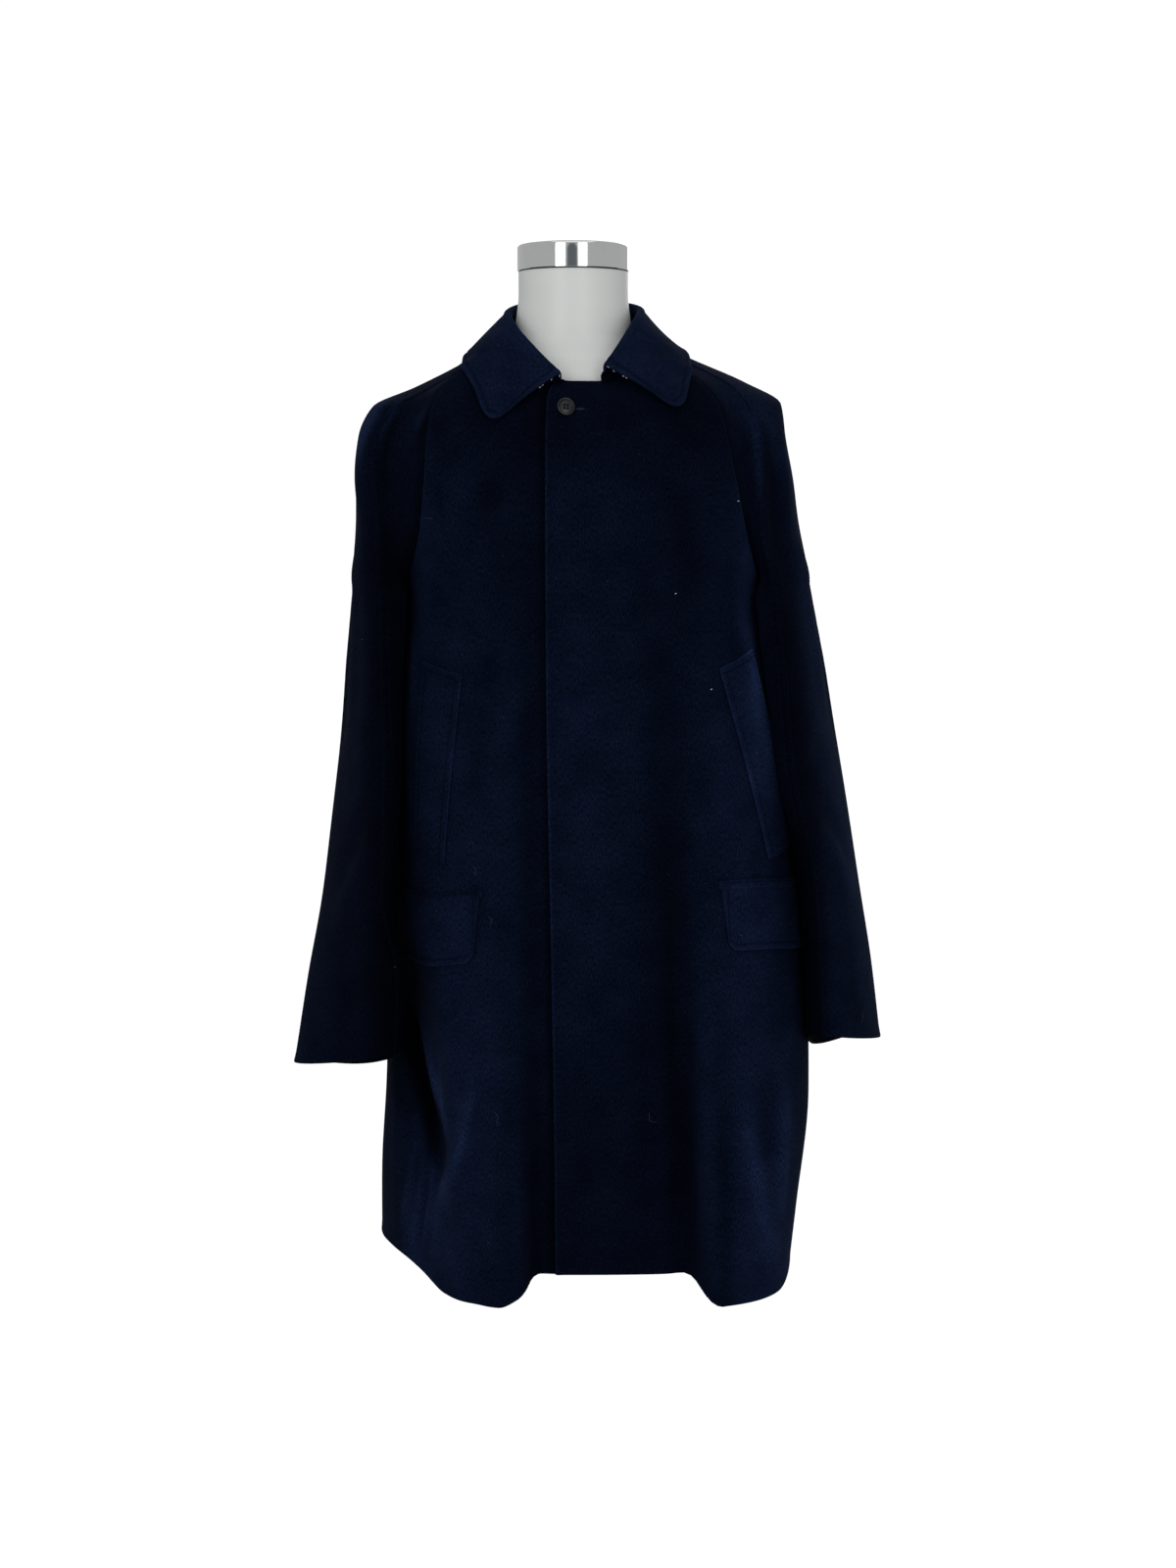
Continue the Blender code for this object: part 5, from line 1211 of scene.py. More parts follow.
# %% Measurements of the pockets
# Each end of a welt has its inner and its outer corner, by distance round from the centre front and
# by height. A flap's top edge sinks by its dip towards the side, the more evenly the lower its bend.
WELT = {
    RIGHT: {"top": ((0.122, 0.706), (0.178, 0.716)), "low": ((0.145, 0.503), (0.188, 0.514))},
    LEFT: {"top": ((0.166, 0.711), (0.224, 0.727)), "low": ((0.226, 0.504), (0.282, 0.512))},
}
FLAP = {
    RIGHT: {"inner": 0.1015, "outer": 0.262, "top": 0.4795, "dip": 0.034, "bend": 1.1, "drop": 0.079},
    LEFT: {"inner": 0.162, "outer": 0.320, "top": 0.487, "dip": 0.026, "bend": 2.0, "drop": 0.075},
}
WELT_LENGTH, WELT_WIDTH, FLAP_DEPTH = 0.21, 0.052, 0.068
JET_HEIGHT, JET_OVERHANG, FLAP_CORNER = 0.0085, 0.003, 0.014
FLAP_SPREAD = 0.006                 # the flap's inner edge slants inwards by this much
WELT_CLOTH, WELT_BOW = 0.0012, 0.0012               # its folded edge, and how far it stands open
FLAP_BOW = 0.0022                   # how far the flap's lower edge stands off
# Painted light on each whole pocket piece: how much paler or darker it is painted.
PATCH_PAINTED_TONE = {("welt", RIGHT): 1.0, ("welt", LEFT): 1.4, ("flap", RIGHT): 1.1, ("flap", LEFT): 1.3,
              ("jet", RIGHT): 0.95, ("jet", LEFT): 1.25}
EDGE_HIGHLIGHT, GROOVE_SHADE = (1.45, 0.0026), (0.62, 0.002)     # painted highlight at a patch's edge, and painted shade in its stitching groove
WELT_END = table("from_edge height", (0.0, -0.0002), (0.0012, 0.0002), (0.0022, -0.0004), (0.0034, 0.0004),
                 (0.0056, 0.0004), (0.0068, -0.0004), (0.0084, 0.0004), (0.012, 0.0003))


# %% Laying a patch on a front
def on_front(side, distance, height, lift):
    """Points over the front, a distance round from the centre front, lifted off the cloth."""
    level = (height - 0.016) / (UNDERARM_Z - 0.016)
    tries = np.linspace(0, 1, 81)
    rows = half_row(side, level.ravel()[:, None], tries[None], True)
    runs = run_along(rows[..., :2], 1)
    shares = [np.interp(wanted, run, tries) for wanted, run in zip(distance.ravel(), runs)]
    shares = np.reshape(shares, distance.shape)
    here, step = body_row(level, side * shares, True), 0.004
    wide = body_row(level, side * (shares + step), True) - body_row(level, side * (shares - step), True)
    tall = body_row(level + step, side * shares, True) - body_row(level - step, side * shares, True)
    out = unit(np.cross(wide, tall)) * side
    return here + out * (pressed(here[..., [0, 2]], FRONT_CREASES) + lift)[..., None], out


def patch(kind, side, wearer, distance, height, lift, relief_of):
    """A stitched piece that lies on a front; relief_of gives its relief from its own four edges."""
    points, out = on_front(side, distance, height, PATCH_GAP + FLAP_CLOTH + lift)
    along, down = run_along(points, 1), run_along(points, 0)
    back, up = along[:, -1:] - along, down[-1:] - down
    outer = points + out * relief_of(along, back, down, up)[..., None]
    from_edge = np.minimum(np.minimum(along, back), up)
    # A pocket piece takes the painted light and shade of the front under it, its own painted light, a painted
    # highlight at its edge and painted shade at its stitching.
    tone = PATCH_PAINTED_TONE[kind, side] * painted_shading(points[..., [0, 2]], FRONT_PAINTED_SHADING)
    tone = tone * beside(from_edge, *EDGE_HIGHLIGHT) * beside(from_edge - STITCH_IN, *GROOVE_SHADE)
    inner, grain = points - out * FLAP_CLOTH, np.stack([along, down], -1)
    cloth_wall(f"cloth_{kind}_{wearer}", outer, inner, grain, WOOL, tone=tone)
    return outer


# %% Reliefs of the pocket pieces
def welt_relief(left, right, down, up):
    """Stitched across both ends and sewn down on one side, with a turned edge on the other."""
    ends = relief(WELT_END, np.minimum(down, up))
    return ends - WELT_CLOTH * ease(1 - left / 0.004) + relief(TURNED, right)


def flap_relief(left, right, down, up):
    """Topstitched round three sides, and sunk under the jet at its top."""
    return relief(EDGED, np.minimum(np.minimum(left, right), up)) - 0.0008 * ease(1 - down / 0.003)


def jet_relief(left, right, down, up):
    """A narrow half round roll."""
    across = (down / (down + up + 1e-9)) * 2 - 1
    return 0.0010 * np.sqrt(np.clip(1 - across ** 2, 0, 1)) - 0.0004


# %% Pockets
patches = {}
for side, wearer in both_sides:
    corners = {end: np.array(pair) for end, pair in WELT[side].items()}
    rows, cols = np.meshgrid(graded(WELT_LENGTH, 0.004), graded(WELT_WIDTH, 0.003), indexing="ij")
    low, top = (corners[end][0] + (corners[end][1] - corners[end][0]) * cols[..., None]
                for end in ("low", "top"))
    place = low + (top - low) * rows[..., None]
    gape = WELT_BOW * ease((cols - 0.5) / 0.5) * ease(rows * 5) * ease((1 - rows) * 5)
    patches["welt", side] = patch("welt", side, wearer, place[..., 0], place[..., 1], gape, welt_relief)
    flap = FLAP[side]
    width = flap["outer"] - flap["inner"]
    rows, cols = np.meshgrid(graded(FLAP_DEPTH, 0.0035), graded(width, 0.004), indexing="ij")
    corner = np.clip(1 - cols * width / FLAP_CORNER, 0, 1)
    drop = flap["drop"] - FLAP_CORNER * (1 - np.sqrt(1 - corner ** 2))
    top = flap["top"] - flap["dip"] * cols ** flap["bend"]
    patches["flap", side] = patch(
        "flap", side, wearer, flap["inner"] + cols * width + FLAP_SPREAD * rows * (1 - cols),
        top - JET_HEIGHT - SEAM_GAP - (drop - JET_HEIGHT) * rows, FLAP_BOW * rows ** 1.5, flap_relief)
    rows, cols = np.meshgrid(np.linspace(0, 1, 9), graded(width, 0.005), indexing="ij")
    top = flap["top"] - flap["dip"] * cols ** flap["bend"]
    patches["jet", side] = patch(
        "jet", side, wearer, flap["inner"] - JET_OVERHANG + cols * (width + 2 * JET_OVERHANG),
        top - JET_HEIGHT * rows, 0 * rows, jet_relief)
print("pocket pieces:", len(patches))

# %% [markdown]
# ## The dress form
# The form is a smooth hollow shell with a chrome disc over its neck. Its torso is a stack of
# superellipses, squarer than an ellipse at the chest and round at the neck. The cap is a profile
# that is spun round its axis: its top edge is rolled, and a narrow recess, painted dark as shade,
# parts it from the neck.

# %% Measurements of the form
FORM = table(
    "z      half_x   half_y   y       round",
    (0.400, 0.1500,  0.1080,  0.012,  2.2),
    (0.470, 0.1600,  0.1140,  0.014,  2.2),
    (0.560, 0.1520,  0.1080,  0.012,  2.2),
    (0.650, 0.1400,  0.1020,  0.006,  2.2),
    (0.740, 0.1480,  0.1120, -0.002,  2.3),
    (0.830, 0.1620,  0.1210, -0.008,  2.4),
    (0.890, 0.1760,  0.1170, -0.008,  2.4),
    (0.935, 0.1880,  0.1060, -0.005,  2.3),
    (0.970, 0.1890,  0.0930, -0.003,  2.2),
    (0.998, 0.1740,  0.0800, -0.004,  2.1),
    (1.0195, 0.1420, 0.0700, -0.006,  2.0),
    (1.035, 0.1040,  0.0640, -0.005,  2.0),
    (1.050, 0.0780,  0.0610, -0.002,  2.0),
    (1.066, 0.0665,  0.0600,  0.000,  2.0),
    (1.090, 0.0620,  0.0590,  0.000,  2.0),
    (1.110, 0.0600,  0.0588,  0.000,  2.0),
    (1.1342, 0.0600, 0.0588,  0.000,  2.0),
)
print("the form's neck, mm across:", round(2000 * FORM["half_x"][-1], 1))


# %% Closed solids from rings
def tube_mesh(name, rings, finish, sharp=38):
    """A closed solid through rings of points, the same number in each."""
    count, last = rings.shape[1], (len(rings) - 1) * rings.shape[1]
    low, high = last + count, last + count + 1      # the middle points of the two ends
    around = [(i, (i + 1) % count) for i in range(count)]
    faces = [(k + i, k + j, k + count + j, k + count + i) for k in range(0, last, count) for i, j in around]
    faces += [(low, j, i) for i, j in around] + [(high, last + i, last + j) for i, j in around]
    points = np.concatenate([rings.reshape(-1, 3), [rings[0].mean(0)], [rings[-1].mean(0)]])
    mesh = bpy.data.meshes.new(name)
    mesh.from_pydata(points.tolist(), [], faces)
    mesh.materials.append(finish)
    mesh.shade_smooth()
    mesh.set_sharp_from_angle(angle=math.radians(sharp))
    return keep(name, mesh)


def spun(profile, sides, centre=(0.0, 0.0)):
    """Rings of a profile of (radius, height) points turned about an upright axis."""
    angle = np.linspace(0, 2 * math.pi, sides, endpoint=False)
    return np.array([xyz(centre[0] + radius * np.cos(angle), centre[1] + radius * np.sin(angle), height)
                     for radius, height in profile])


def rounded(wave, power):
    """A cosine or sine, changed so that it draws a superellipse."""
    return np.sign(wave) * np.abs(wave) ** (2 / power)


# %% Torso
FORM_SIDES = 112
form_z = np.concatenate([np.linspace(0.400, 1.000, 61), np.linspace(1.003, 1.1342, 45)])
angle = np.linspace(0, 2 * math.pi, FORM_SIDES, endpoint=False)
rings = []
for height in form_z:
    row = {name: float(read(FORM, name, height)) for name in FORM}
    rings.append(xyz(rounded(np.cos(angle), row["round"]) * row["half_x"],
                     rounded(np.sin(angle), row["round"]) * row["half_y"] + row["y"], height))
tube_mesh("form_shell", np.array(rings), PLASTIC)
print("form rings:", len(rings))

# %% Chrome cap, post and base
CAP_RADIUS, CAP_TOP, CAP_BOTTOM, CAP_EDGE = 0.0612, 1.1630, 1.1345, 0.0035
NECK_RADIUS, CAP_SIDES = 0.0595, 128
cap_profile = [(NECK_RADIUS, CAP_BOTTOM), (NECK_RADIUS, CAP_BOTTOM + 0.0009),
               (CAP_RADIUS - 0.0004, CAP_BOTTOM + 0.0010), (CAP_RADIUS, CAP_BOTTOM + 0.0014)]
cap_profile += [(CAP_RADIUS, z) for z in np.linspace(CAP_BOTTOM + 0.004, CAP_TOP - CAP_EDGE, 5)]
cap_profile += [(CAP_RADIUS - CAP_EDGE * (1 - math.cos(turn)), CAP_TOP - CAP_EDGE * (1 - math.sin(turn)))
                for turn in np.linspace(0.15, math.pi / 2, 9)]
cap_profile += [(0.050, CAP_TOP - 0.0001), (0.030, CAP_TOP), (0.004, CAP_TOP)]
chrome_cap = tube_mesh("chrome_cap", spun(cap_profile, CAP_SIDES), CHROME)
chrome_cap.data.materials.append(SHADED_GAP)
for i in range(CAP_SIDES):
    chrome_cap.data.polygons[i].material_index = 1  # the lowest ring, in the recess, is painted dark as shade
for node, finish in (("form_post", CHROME), ("form_base", PAINT)):
    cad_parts[node].data.materials.clear()
    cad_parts[node].data.materials.append(finish)
print("cap rings:", len(cap_profile))

# %% [markdown]
# ## The button
# A horn button is turned on a lathe: a raised rim, a dished middle, a thin back, and four drilled
# holes. The holes are cut with a Boolean modifier, because a lathe profile can't hold them, and the
# result is kept as a plain mesh. Thread passes over the middle in two short bars.

# %% Place and shape of the button
BUTTON_X, BUTTON_Z, BUTTON_RADIUS = -0.0073, 0.9826, 0.0096
BUTTON_SIDES, DRILL_SIDES = 72, 20
BUTTON_TURN, BUTTON_HANG = math.radians(14), math.radians(20)     # it faces its own way on its shank
DRILL_RADIUS, DRILL_PLACE = 0.0012, 0.0018
BUTTON_PROFILE = (                  # share of the radius, and height in metres
    (0.80, 0.0000), (0.90, 0.0002), (0.97, 0.0009), (1.00, 0.0019), (0.985, 0.0027), (0.95, 0.0033),
    (0.90, 0.0036), (0.84, 0.0036), (0.79, 0.0032), (0.74, 0.0022), (0.69, 0.0019), (0.62, 0.0022),
    (0.40, 0.0024), (0.18, 0.0024),
)
level = 1 + np.interp(BUTTON_Z, YOKE["front_z"], YOKE["rise"])
lean = body_row(level + 0.04, 0.0, True) - body_row(level - 0.04, 0.0, True)
cloth_pitch = math.atan2(lean[1], lean[2])
pitch = cloth_pitch - BUTTON_HANG                   # it hangs steeper than the cloth
front_up = np.array([0, math.sin(pitch), math.cos(pitch)])
front_side = np.array([math.cos(BUTTON_TURN), math.sin(BUTTON_TURN) * math.cos(pitch),
                       -math.sin(BUTTON_TURN) * math.sin(pitch)])
front_out = np.cross(front_side, front_up)
shank_length = 0.0008 + BUTTON_RADIUS * math.sin(math.radians(24))
button_at = body_row(level, across_at_x([level], BUTTON_X)[0], True)
button_at = button_at + np.array([0, -math.cos(cloth_pitch), math.sin(cloth_pitch)]) * shank_length
print("middle of the button's back, m:", button_at.round(4).tolist())


def on_button(x, y, height):
    """A place on the button: across, up, and out from its back, in metres."""
    return button_at + front_side * x + front_up * y + front_out * height


def plain_mesh(made):
    """What an object's modifiers give, as a plain mesh."""
    bpy.context.view_layer.update()
    return bpy.data.meshes.new_from_object(made.evaluated_get(bpy.context.evaluated_depsgraph_get()))


# %% Turning and drilling the button
profile = [(BUTTON_RADIUS * share, height) for share, height in BUTTON_PROFILE]
button = tube_mesh("horn_button", spun(profile, BUTTON_SIDES), HORN)
drills = []
for x in (-DRILL_PLACE, DRILL_PLACE):
    for y in (-DRILL_PLACE, DRILL_PLACE):
        rings = spun([(DRILL_RADIUS, -0.002), (DRILL_RADIUS, 0.006)], DRILL_SIDES, (x, y))
        drill = tube_mesh(f"drill_{len(drills)}", rings, HORN)
        hole = button.modifiers.new(drill.name, "BOOLEAN")
        hole.operation, hole.object, hole.solver = "DIFFERENCE", drill, "EXACT"
        drills.append(drill)
result = plain_mesh(button)
button.modifiers.clear()
button.data = result
for drill in drills:
    del pieces[drill.name]
    bpy.data.objects.remove(drill, do_unlink=True)
for vertex in button.data.vertices:
    vertex.co = Vector(on_button(*vertex.co))
mesh = bmesh.new()
mesh.from_mesh(button.data)
bmesh.ops.remove_doubles(mesh, verts=mesh.verts, dist=1e-6)
bmesh.ops.recalc_face_normals(mesh, faces=mesh.faces)
mesh.to_mesh(button.data)
mesh.free()
button.data.shade_smooth()
button.data.set_sharp_from_angle(angle=math.radians(35))
print("button faces:", len(button.data.polygons))

# %% [markdown]
# ## Stitches
# Topstitching is one small thread after another along a line, which is what Geometry Nodes do best.
# The tree resamples a path at the stitch pitch and puts one short, round-ended stitch on each point,
# turned along the path or across it. The same tree makes the topstitching of the collar, seams and
# pockets, the button's thread, the pick stitches, the buttonhole and even the bits of lint.


# %% Stitch tree
def stitch_tree(name):
    """Geometry Nodes: a stitch at every pitch of the paths, along them or across them."""
    tree = bpy.data.node_groups.new(name, "GeometryNodeTree")
    face = tree.interface
    face.new_socket("Paths", in_out="INPUT", socket_type="NodeSocketGeometry")
    for label, kind, value in (("Pitch", "Float", 0.0032), ("Stitch Length", "Float", 0.0024),
                               ("Thread Radius", "Float", 0.00028), ("Across", "Bool", False),
                               ("Facing", "Vector", (0, -1, 0)), ("Unevenness", "Float", 0.12),
                               ("Seed", "Int", 7), ("Thread", "Material", None)):
        socket = face.new_socket(label, in_out="INPUT", socket_type=f"NodeSocket{kind}")
        if value is not None:
            socket.default_value = value
    face.new_socket("Stitches", in_out="OUTPUT", socket_type="NodeSocketGeometry")
    given, result = add(tree, "NodeGroupInput"), add(tree, "NodeGroupOutput")
    resample = add(tree, "GeometryNodeResampleCurve", mode="LENGTH")
    bead = add(tree, "GeometryNodeMeshUVSphere", segments=6, rings=4, radius=1.0)
    half = add(tree, "ShaderNodeMath", operation="MULTIPLY")
    half.inputs[1].default_value = 0.5
    size, tangent = add(tree, "ShaderNodeCombineXYZ"), add(tree, "GeometryNodeInputTangent")
    crossed = add(tree, "ShaderNodeVectorMath", operation="CROSS_PRODUCT")
    choose = add(tree, "GeometryNodeSwitch", input_type="VECTOR")
    jitter = add(tree, "FunctionNodeRandomValue", data_type="FLOAT_VECTOR", min=(-1, -1, -1),
                 max=(1, 1, 1))
    added = add(tree, "ShaderNodeVectorMath", operation="MULTIPLY_ADD")
    align = add(tree, "FunctionNodeAlignRotationToVector", axis="X")
    place = add(tree, "GeometryNodeInstanceOnPoints")
    real, smooth, dyed = (add(tree, f"GeometryNode{kind}")
                          for kind in ("RealizeInstances", "SetShadeSmooth", "SetMaterial"))
    wire(tree,                      # a bead, half as long as a stitch to each side
         (given, "Stitch Length", half, 0), (half, 0, size, "X"), (given, "Thread Radius", size, "Y"),
         (given, "Thread Radius", size, "Z"))
    wire(tree,                      # its direction: along the path or across it, and a little uneven
         (tangent, 0, crossed, 0), (given, "Facing", crossed, 1), (given, "Across", choose, "Switch"),
         (tangent, 0, choose, "False"), (crossed, 0, choose, "True"), (given, "Seed", jitter, "Seed"),
         (jitter, "Value", added, 0), (given, "Unevenness", added, 1), (choose, 0, added, 2),
         (added, 0, align, "Vector"))
    wire(tree,                      # a bead on each point of the path
         (given, "Paths", resample, "Curve"), (given, "Pitch", resample, "Length"),
         (resample, "Curve", place, "Points"), (bead, "Mesh", place, "Instance"),
         (align, "Rotation", place, "Rotation"), (size, 0, place, "Scale"))
    wire(tree, (place, "Instances", real, "Geometry"), (real, "Geometry", smooth, "Geometry"),
         (smooth, "Geometry", dyed, "Geometry"), (given, "Thread", dyed, "Material"),
         (dyed, "Geometry", result, "Stitches"))
    return tree


STITCHES = stitch_tree("stitches_along_paths")
print("nodes of the stitch tree:", len(STITCHES.nodes))


# %% Stitching along paths
def stitched(name, paths, thread, **sizes):
    """Stitches along several paths, as one plain mesh."""
    curve = bpy.data.curves.new(name, "CURVE")
    curve.dimensions = "3D"
    for path in paths:
        spline = curve.splines.new("POLY")
        spline.points.add(len(path) - 1)
        points = np.column_stack([path, np.ones(len(path))])
        spline.points.foreach_set("co", points.astype(np.float32).ravel())
    paths_object = bpy.data.objects.new(name + "_paths", curve)
    bpy.context.scene.collection.objects.link(paths_object)
    live = paths_object.modifiers.new("stitches", "NODES")
    live.node_group = STITCHES
    wanted = {"Thread": thread, **{label.replace("_", " ").title(): value for label, value in sizes.items()}}
    for socket in STITCHES.interface.items_tree:
        if socket.in_out == "INPUT" and socket.name in wanted:
            live[socket.identifier] = wanted[socket.name]
    mesh = plain_mesh(paths_object)
    bpy.data.objects.remove(paths_object, do_unlink=True)
    mesh.name = name
    print(f"{name}: {len(mesh.polygons)} faces")
    return keep(name, mesh)


# %% Paths of the stitches
def beside_edge(grid, distance, at_end):
    """The line that runs through a grid's rows at a distance from one edge column."""
    run = run_along(grid, 1)
    place = run[:, -1] - distance if at_end else np.full(len(grid), distance)
    return np.array([[np.interp(place[k], run[k], grid[k, :, axis]) for axis in range(3)]
                     for k in range(len(grid))])


def across_grid(grid, distance, at_end, trim=0.0):
    """The line that runs across a grid's columns at a distance from its first or last row."""
    line = beside_edge(grid.transpose(1, 0, 2), distance, at_end)
    run = run_along(line[None], 1)[0]
    return line[(run >= trim) & (run <= run[-1] - trim)]


# %% Topstitching
WELT_STITCH_IN, WELT_STITCH_TRIM = (0.0022, 0.0068), 0.002
FLY_STITCH_IN, FLY_STITCH_Z = 0.0610, (0.38, 0.985)
coat_paths = []
for side, wearer in both_sides:
    coat_paths.append(beside_edge(outers[f"sleeve_{wearer}_back"], 0.0064, False))
    flap, welt = patches["flap", side], patches["welt", side]
    coat_paths += [beside_edge(flap, STITCH_IN, at_end)[:-8] for at_end in (False, True)]
    coat_paths.append(across_grid(flap, STITCH_IN, True, STITCH_IN))
    coat_paths += [across_grid(welt, distance, at_end, WELT_STITCH_TRIM)
                   for distance in WELT_STITCH_IN for at_end in (False, True)]
coat_paths.append(beside_edge(collar_outer, STITCH_IN, True)[8:-8])
coat_paths += [across_grid(collar_outer, STITCH_IN, at_end, 0.012) for at_end in (False, True)]
fly_line = beside_edge(outers["front_left"], FLY_STITCH_IN, False)
coat_paths.append(fly_line[(fly_line[:, 2] > FLY_STITCH_Z[0]) & (fly_line[:, 2] < FLY_STITCH_Z[1])])
stitched("topstitching", coat_paths, THREAD, pitch=0.0034, stitch_length=0.0026, thread_radius=0.00026)

# %% Thread of the button
THREAD_BAR = ((-0.0020, 0.0012), (-0.0013, 0.0025), (0.0, 0.0028), (0.0013, 0.0025), (0.0020, 0.0012))
bars = [[on_button(x, y, height) for y, height in THREAD_BAR] for x in (-DRILL_PLACE, DRILL_PLACE)]
shank = [on_button(0, 0, height) for height in (0.0002, -0.0010, -0.0022, -0.0034)]
stitched("button_thread", [*bars, shank], THREAD, pitch=0.0007, stitch_length=0.0014, thread_radius=0.00028,
         unevenness=0.0)


# %% [markdown]
# ## Buttonhole, pick stitches and lint
# The buttonhole is worked by hand in a slate thread, close stitches across a slit. Pale pick stitches
# hold the under collar, and show in short groups just below the front edge of each leaf. Navy wool
# also shows every bit of white fluff, so a few specks and hairs lie where they catch the eye. The
# buttonhole and the fluff are found by looking straight back at the coat at a given x and z, so they
# lie on its surface whatever its folds do.

# %% Buttonhole
bpy.context.view_layer.update()
cloths = [made for name, made in pieces.items() if name.startswith("cloth")]


def on_cloth(x, z, lift=0.0004):
    """The foremost place on the coat at a given x and z, lifted towards the front."""
    hits = [made.ray_cast(Vector((x, -1.0, z)), Vector((0, 1, 0))) for made in cloths]
    foremost = min((hit[1] for hit in hits if hit[0]), key=lambda place: place[1])
    return np.array(foremost) - np.array([0, lift, 0])


HOLE_Z, HOLE_FROM_X, HOLE_TO_X, HOLE_END_X = 0.9838, 0.0036, 0.0122, 0.0080
slit = [on_cloth(x, HOLE_Z, 0.0003) for x in np.linspace(HOLE_FROM_X, HOLE_TO_X, 9)]
stitched("buttonhole", [slit], GREY_THREAD, pitch=0.00075, stitch_length=0.0017, thread_radius=0.00026,
         across=True, facing=(0, -1, 0))
bar = [on_cloth(HOLE_END_X, HOLE_Z + off, 0.0005) for off in (-0.0012, 0.0, 0.0012)]
stitched("buttonhole_end", [bar], GREY_THREAD, pitch=0.0008, stitch_length=0.0014, thread_radius=0.00032)

# %% Pick stitches
PICKS = ((0, 0.0, 0.06), (0, 0.14, 0.24), (0, 0.31, 0.41), (-1, 0.10, 0.20), (-1, 0.33, 0.42))
picks = []                          # each group: an end of the collar, and its stretch of the leaf's edge
for end, low_share, high_share in PICKS:
    line = fall[end] - fall_out[end] * (COLLAR_CLOTH * 0.9) + np.array([0, -0.0006, -0.0011])
    run = run_along(line[None], 1)[0]
    picks.append(line[(run > low_share * run[-1]) & (run < high_share * run[-1])])
picks.append(stand[-1, 2:] + np.array([-0.0003, -0.0008, 0.0]))
stitched("pick_stitches", picks, PALE_THREAD, pitch=0.0040, stitch_length=0.0032, thread_radius=0.00036,
         unevenness=0.25)


# %% Lint
SPECKS = ((0.1470, 0.6895), (0.1079, 0.7918), (0.1742, 0.8879))
DUST_SPECKS = ((-0.2290, 0.7390), (-0.193, 0.3890), (0.180, 0.4261), (-0.148, 0.449), (-0.093, 0.086))
HAIRS = (
    ((-0.1615, 0.8698), (-0.155, 0.8704), (-0.1483, 0.8698)),
    ((0.0830, 0.2230), (0.0836, 0.2140), (0.0900, 0.2120)),
    ((-0.085, 0.235), (-0.082, 0.232), (-0.0805, 0.228), (-0.083, 0.224), (-0.080, 0.222)),
    ((0.206, 0.619), (0.210, 0.621), (0.212, 0.615)),
    ((-0.106, 0.502), (-0.103, 0.499), (-0.105, 0.495), (-0.102, 0.494)),
    ((0.321, 0.311), (0.3235, 0.316), (0.3225, 0.3215)),
    ((-0.090, 0.448), (-0.086, 0.446), (-0.088, 0.441)),
)
SPECK_SIZE = 0.0008
white = [[on_cloth(x, z), on_cloth(x + SPECK_SIZE, z + 0.0003)] for x, z in SPECKS]
grey = [[on_cloth(x, z), on_cloth(x + SPECK_SIZE, z)] for x, z in DUST_SPECKS]
hairs = [[on_cloth(x, z) for x, z in hair] for hair in HAIRS]
stitched("lint_specks", white, LINT, pitch=0.0005, stitch_length=0.0013, thread_radius=0.0005)
stitched("lint_dust", grey, DUST, pitch=0.0006, stitch_length=0.0011, thread_radius=0.00032)
stitched("lint_hairs", hairs, DUST, pitch=0.0008, stitch_length=0.0013, thread_radius=0.00014)

# %% [markdown]
# ## Attaching the pieces
# Every piece rides on the root body. The solids of the frame that the pieces stand for are hidden,
# and for each cloth panel its area is printed beside the size that its panel was cut to.


# %% Riding, replacing and sheets
def surface(made):
    """Area of one face of a cloth wall, in square metres."""
    return sum(polygon.area for polygon in made.data.polygons) / 2


CUTS = {                            # width and length of each flat panel, and what it lies on
    "back": (0.62, 1.09, "form_shell"),
    "front_left": (0.44, 1.06, "form_shell"),
    "front_right": (0.44, 1.06, "form_shell"),
    "sleeve_left_front": (0.18, 0.86, "form_shell"),
    "sleeve_left_back": (0.36, 0.86, "form_shell"),
    "sleeve_right_front": (0.18, 0.88, "form_shell"),
    "sleeve_right_back": (0.36, 0.88, "form_shell"),
    "collar_stand": (0.42, 0.05, "cloth_back"),
    "collar_fall": (0.62, 0.11, "cloth_back"),
    "welt_left": (0.065, 0.226, "cloth_front_left"),
    "welt_right": (0.058, 0.218, "cloth_front_right"),
    "flap_left": (0.168, 0.074, "cloth_front_left"),
    "flap_right": (0.170, 0.075, "cloth_front_right"),
    "jet_left": (0.170, 0.0125, "cloth_front_left"),
    "jet_right": (0.170, 0.0125, "cloth_front_right"),
}
HARD = {"form_shell": ("form_torso", "white_plastic"), "chrome_cap": ("form_cap", "chrome"),
        "horn_button": ("button", "horn")}
for made in pieces.values():
    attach(made, "root")
for name, (width, length, under_it) in CUTS.items():
    made = pieces[f"cloth_{name}"]
    print(name, "area", round(surface(made), 4), "of", round(width * length, 4))
    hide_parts(name)
for name, (node, slot) in HARD.items():
    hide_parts(node)


# %% [markdown]
# ## Floor, light and camera
# A studio shot of dark cloth needs large, soft, even light, or the folds vanish. Two tall softboxes
# stand on either side of the camera, and the chrome cap mirrors them as two bright bars. A third
# one hangs above, and a fourth lights the back. The floor fades out with distance, so it meets the
# white surround unseen. The surround is dim behind the camera, which keeps the chrome grey there.

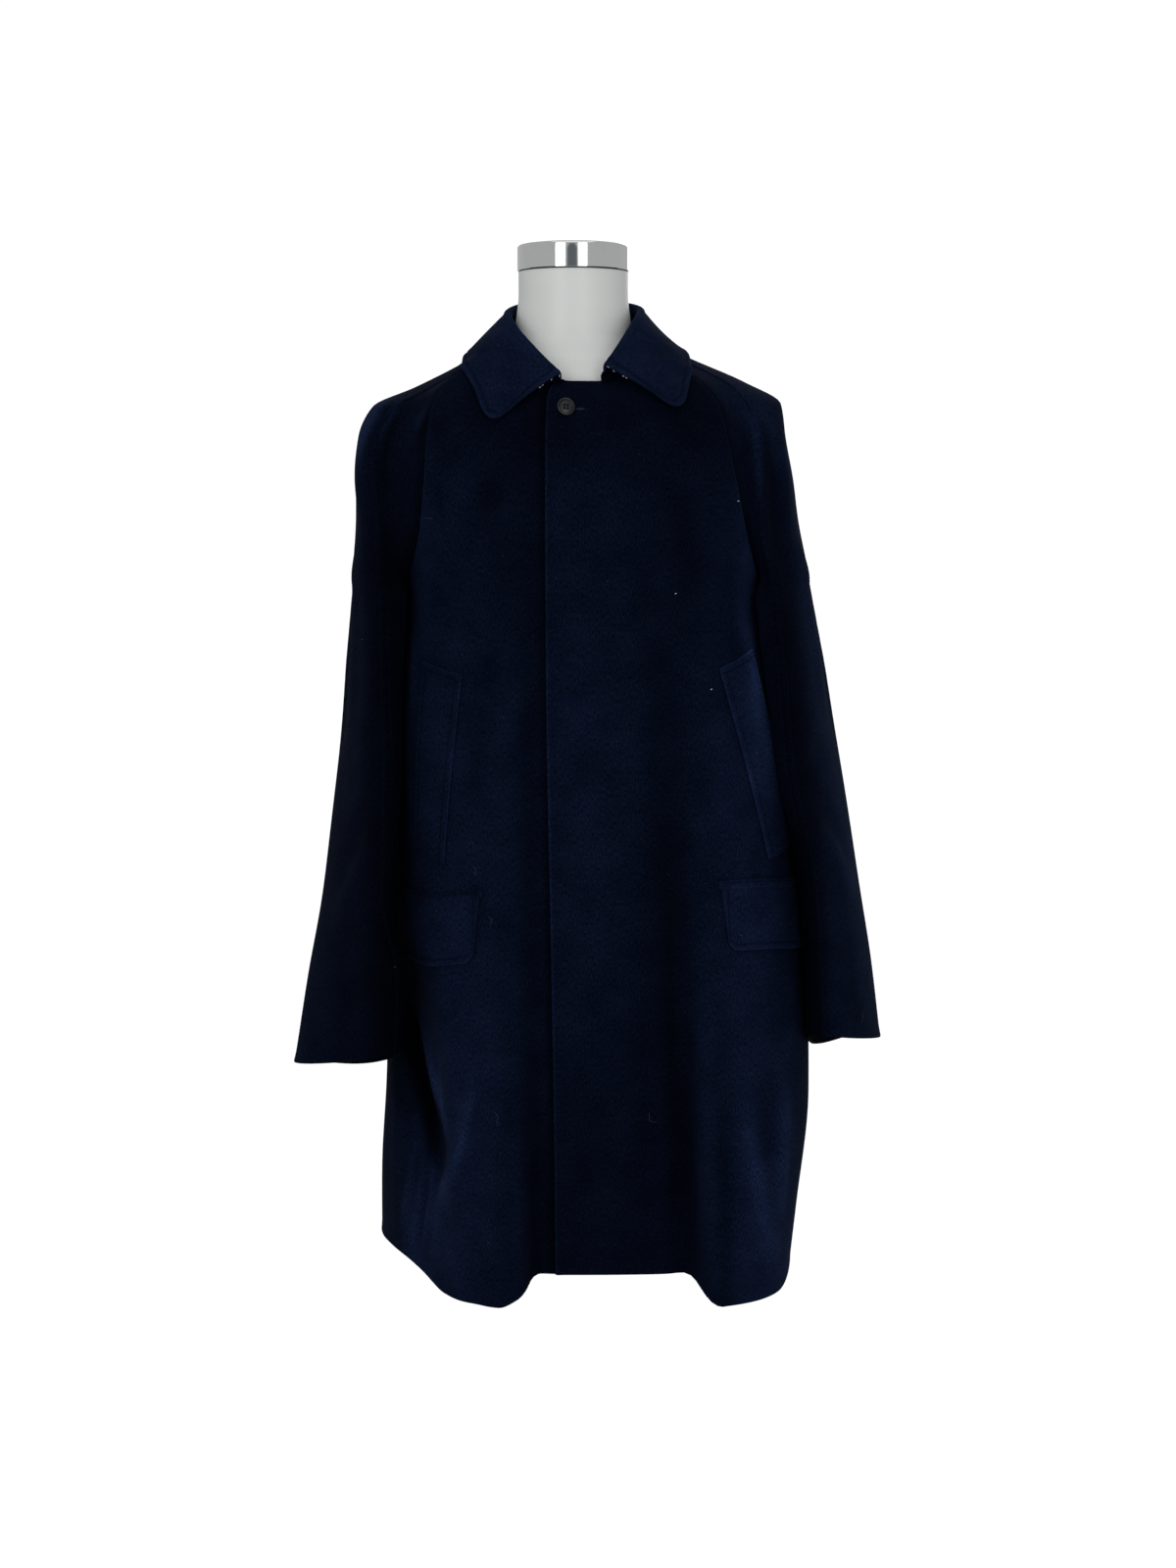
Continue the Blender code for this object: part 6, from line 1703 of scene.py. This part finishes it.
# %% Floor
bpy.context.scene.view_settings.view_transform = "Standard"
bpy.ops.mesh.primitive_circle_add(vertices=96, radius=3.0, fill_type="NGON")
floor = bpy.context.object
floor.name = "studio_floor"
white, tree, shader = shader_nodes("studio_white")
settings(shader, roughness=0.9)
place, length = add(tree, "ShaderNodeTexCoord"), add(tree, "ShaderNodeVectorMath", operation="LENGTH")
grit = add(tree, "ShaderNodeTexNoise", scale=40.0, detail=3.0)
paint = ramp(tree, grit, (0.93, 0.93, 0.93), (0.95, 0.95, 0.95))
fade_out = add(tree, "ShaderNodeMapRange", from_min=0.5, from_max=1.4)
clear, joined = add(tree, "ShaderNodeBsdfTransparent"), add(tree, "ShaderNodeMixShader")
path = add(tree, "ShaderNodeLightPath")
thinner = add(tree, "ShaderNodeMath", operation="MULTIPLY_ADD", use_clamp=True)
thinner.inputs[1].default_value = 0.96
wire(tree, (place, "Object", grit, "Vector"), (paint, "Color", shader, "Base Color"),
     (place, "Object", length, 0), (length, "Value", fade_out, "Value"),
     (path, "Is Camera Ray", thinner, 0), (fade_out, "Result", thinner, 2), (thinner, "Value", joined, "Fac"),
     (shader, "BSDF", joined, 1), (clear, "BSDF", joined, 2),
     (joined, "Shader", tree.nodes["Material Output"], "Surface"))
floor.data.materials.append(white)
floor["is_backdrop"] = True


# %% Lights
def softbox(name, place, target, width, height, power):
    """A rectangular soft light that faces a target."""
    lamp = bpy.data.lights.new(name, "AREA")
    lamp.shape, lamp.size, lamp.size_y, lamp.energy = "RECTANGLE", width, height, power
    holder = bpy.data.objects.new(name, lamp)
    holder.location = place
    holder.rotation_euler = (Vector(target) - Vector(place)).to_track_quat("-Z", "Y").to_euler()
    bpy.context.scene.collection.objects.link(holder)


softbox("softbox_left", (-1.25, -2.6, 1.15), (0, 0, 0.75), 1.0, 2.2, 20)
softbox("softbox_right", (0.95, -2.7, 1.15), (0, 0, 0.75), 0.9, 2.2, 17)
softbox("softbox_above", (0.0, -0.9, 3.0), (0, 0, 0.8), 2.4, 1.6, 8)
softbox("softbox_behind", (0.6, 2.8, 1.9), (0, 0, 0.7), 2.0, 2.0, 18)

# %% White surround
surround = bpy.data.worlds.new("white_surround")
bpy.context.scene.world = surround
surround.use_nodes = True
tree = surround.node_tree
sky, seen = tree.nodes["Background"], add(tree, "ShaderNodeBackground", color=(1, 1, 1, 1), strength=1.05)
settings(sky, strength=0.54)
aim, turned_by = add(tree, "ShaderNodeTexCoord"), add(tree, "ShaderNodeVectorMath", operation="DOT_PRODUCT")
turned_by.inputs[1].default_value = (-0.035, -0.9994, 0.0)
dimmer = ramp(tree, turned_by, (1, 1, 1), (0.26, 0.29, 0.31), 0.975, 0.985, "Value")    # behind the camera
path, pick = add(tree, "ShaderNodeLightPath"), add(tree, "ShaderNodeMixShader")
wire(tree, (aim, "Generated", turned_by, 0), (dimmer, "Color", sky, "Color"),
     (path, "Is Camera Ray", pick, "Fac"), (sky, "Background", pick, 1), (seen, "Background", pick, 2),
     (pick, "Shader", tree.nodes["World Output"], "Surface"))


# %% Camera
LENS, PITCH_DOWN = 49.185, 8.277
lens = bpy.data.cameras.new("studio_camera")
lens.sensor_fit, lens.sensor_height, lens.sensor_width, lens.lens = "VERTICAL", 36.0, 36.0, LENS
camera = bpy.data.objects.new("studio_camera", lens)
camera.location = (0.0161, -2.4, 0.918)
camera.rotation_euler = (math.radians(90 - PITCH_DOWN), 0, 0)
bpy.context.scene.collection.objects.link(camera)
bpy.context.scene.camera = camera
print("camera, m:", [round(axis, 3) for axis in camera.location])

# %% Size and finish
low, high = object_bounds()
triangles = {name: sum(len(face.vertices) - 2 for face in made.data.polygons)
             for name, made in pieces.items()}
print("triangles of the pieces:", sum(triangles.values()), "largest:", max(triangles, key=triangles.get))
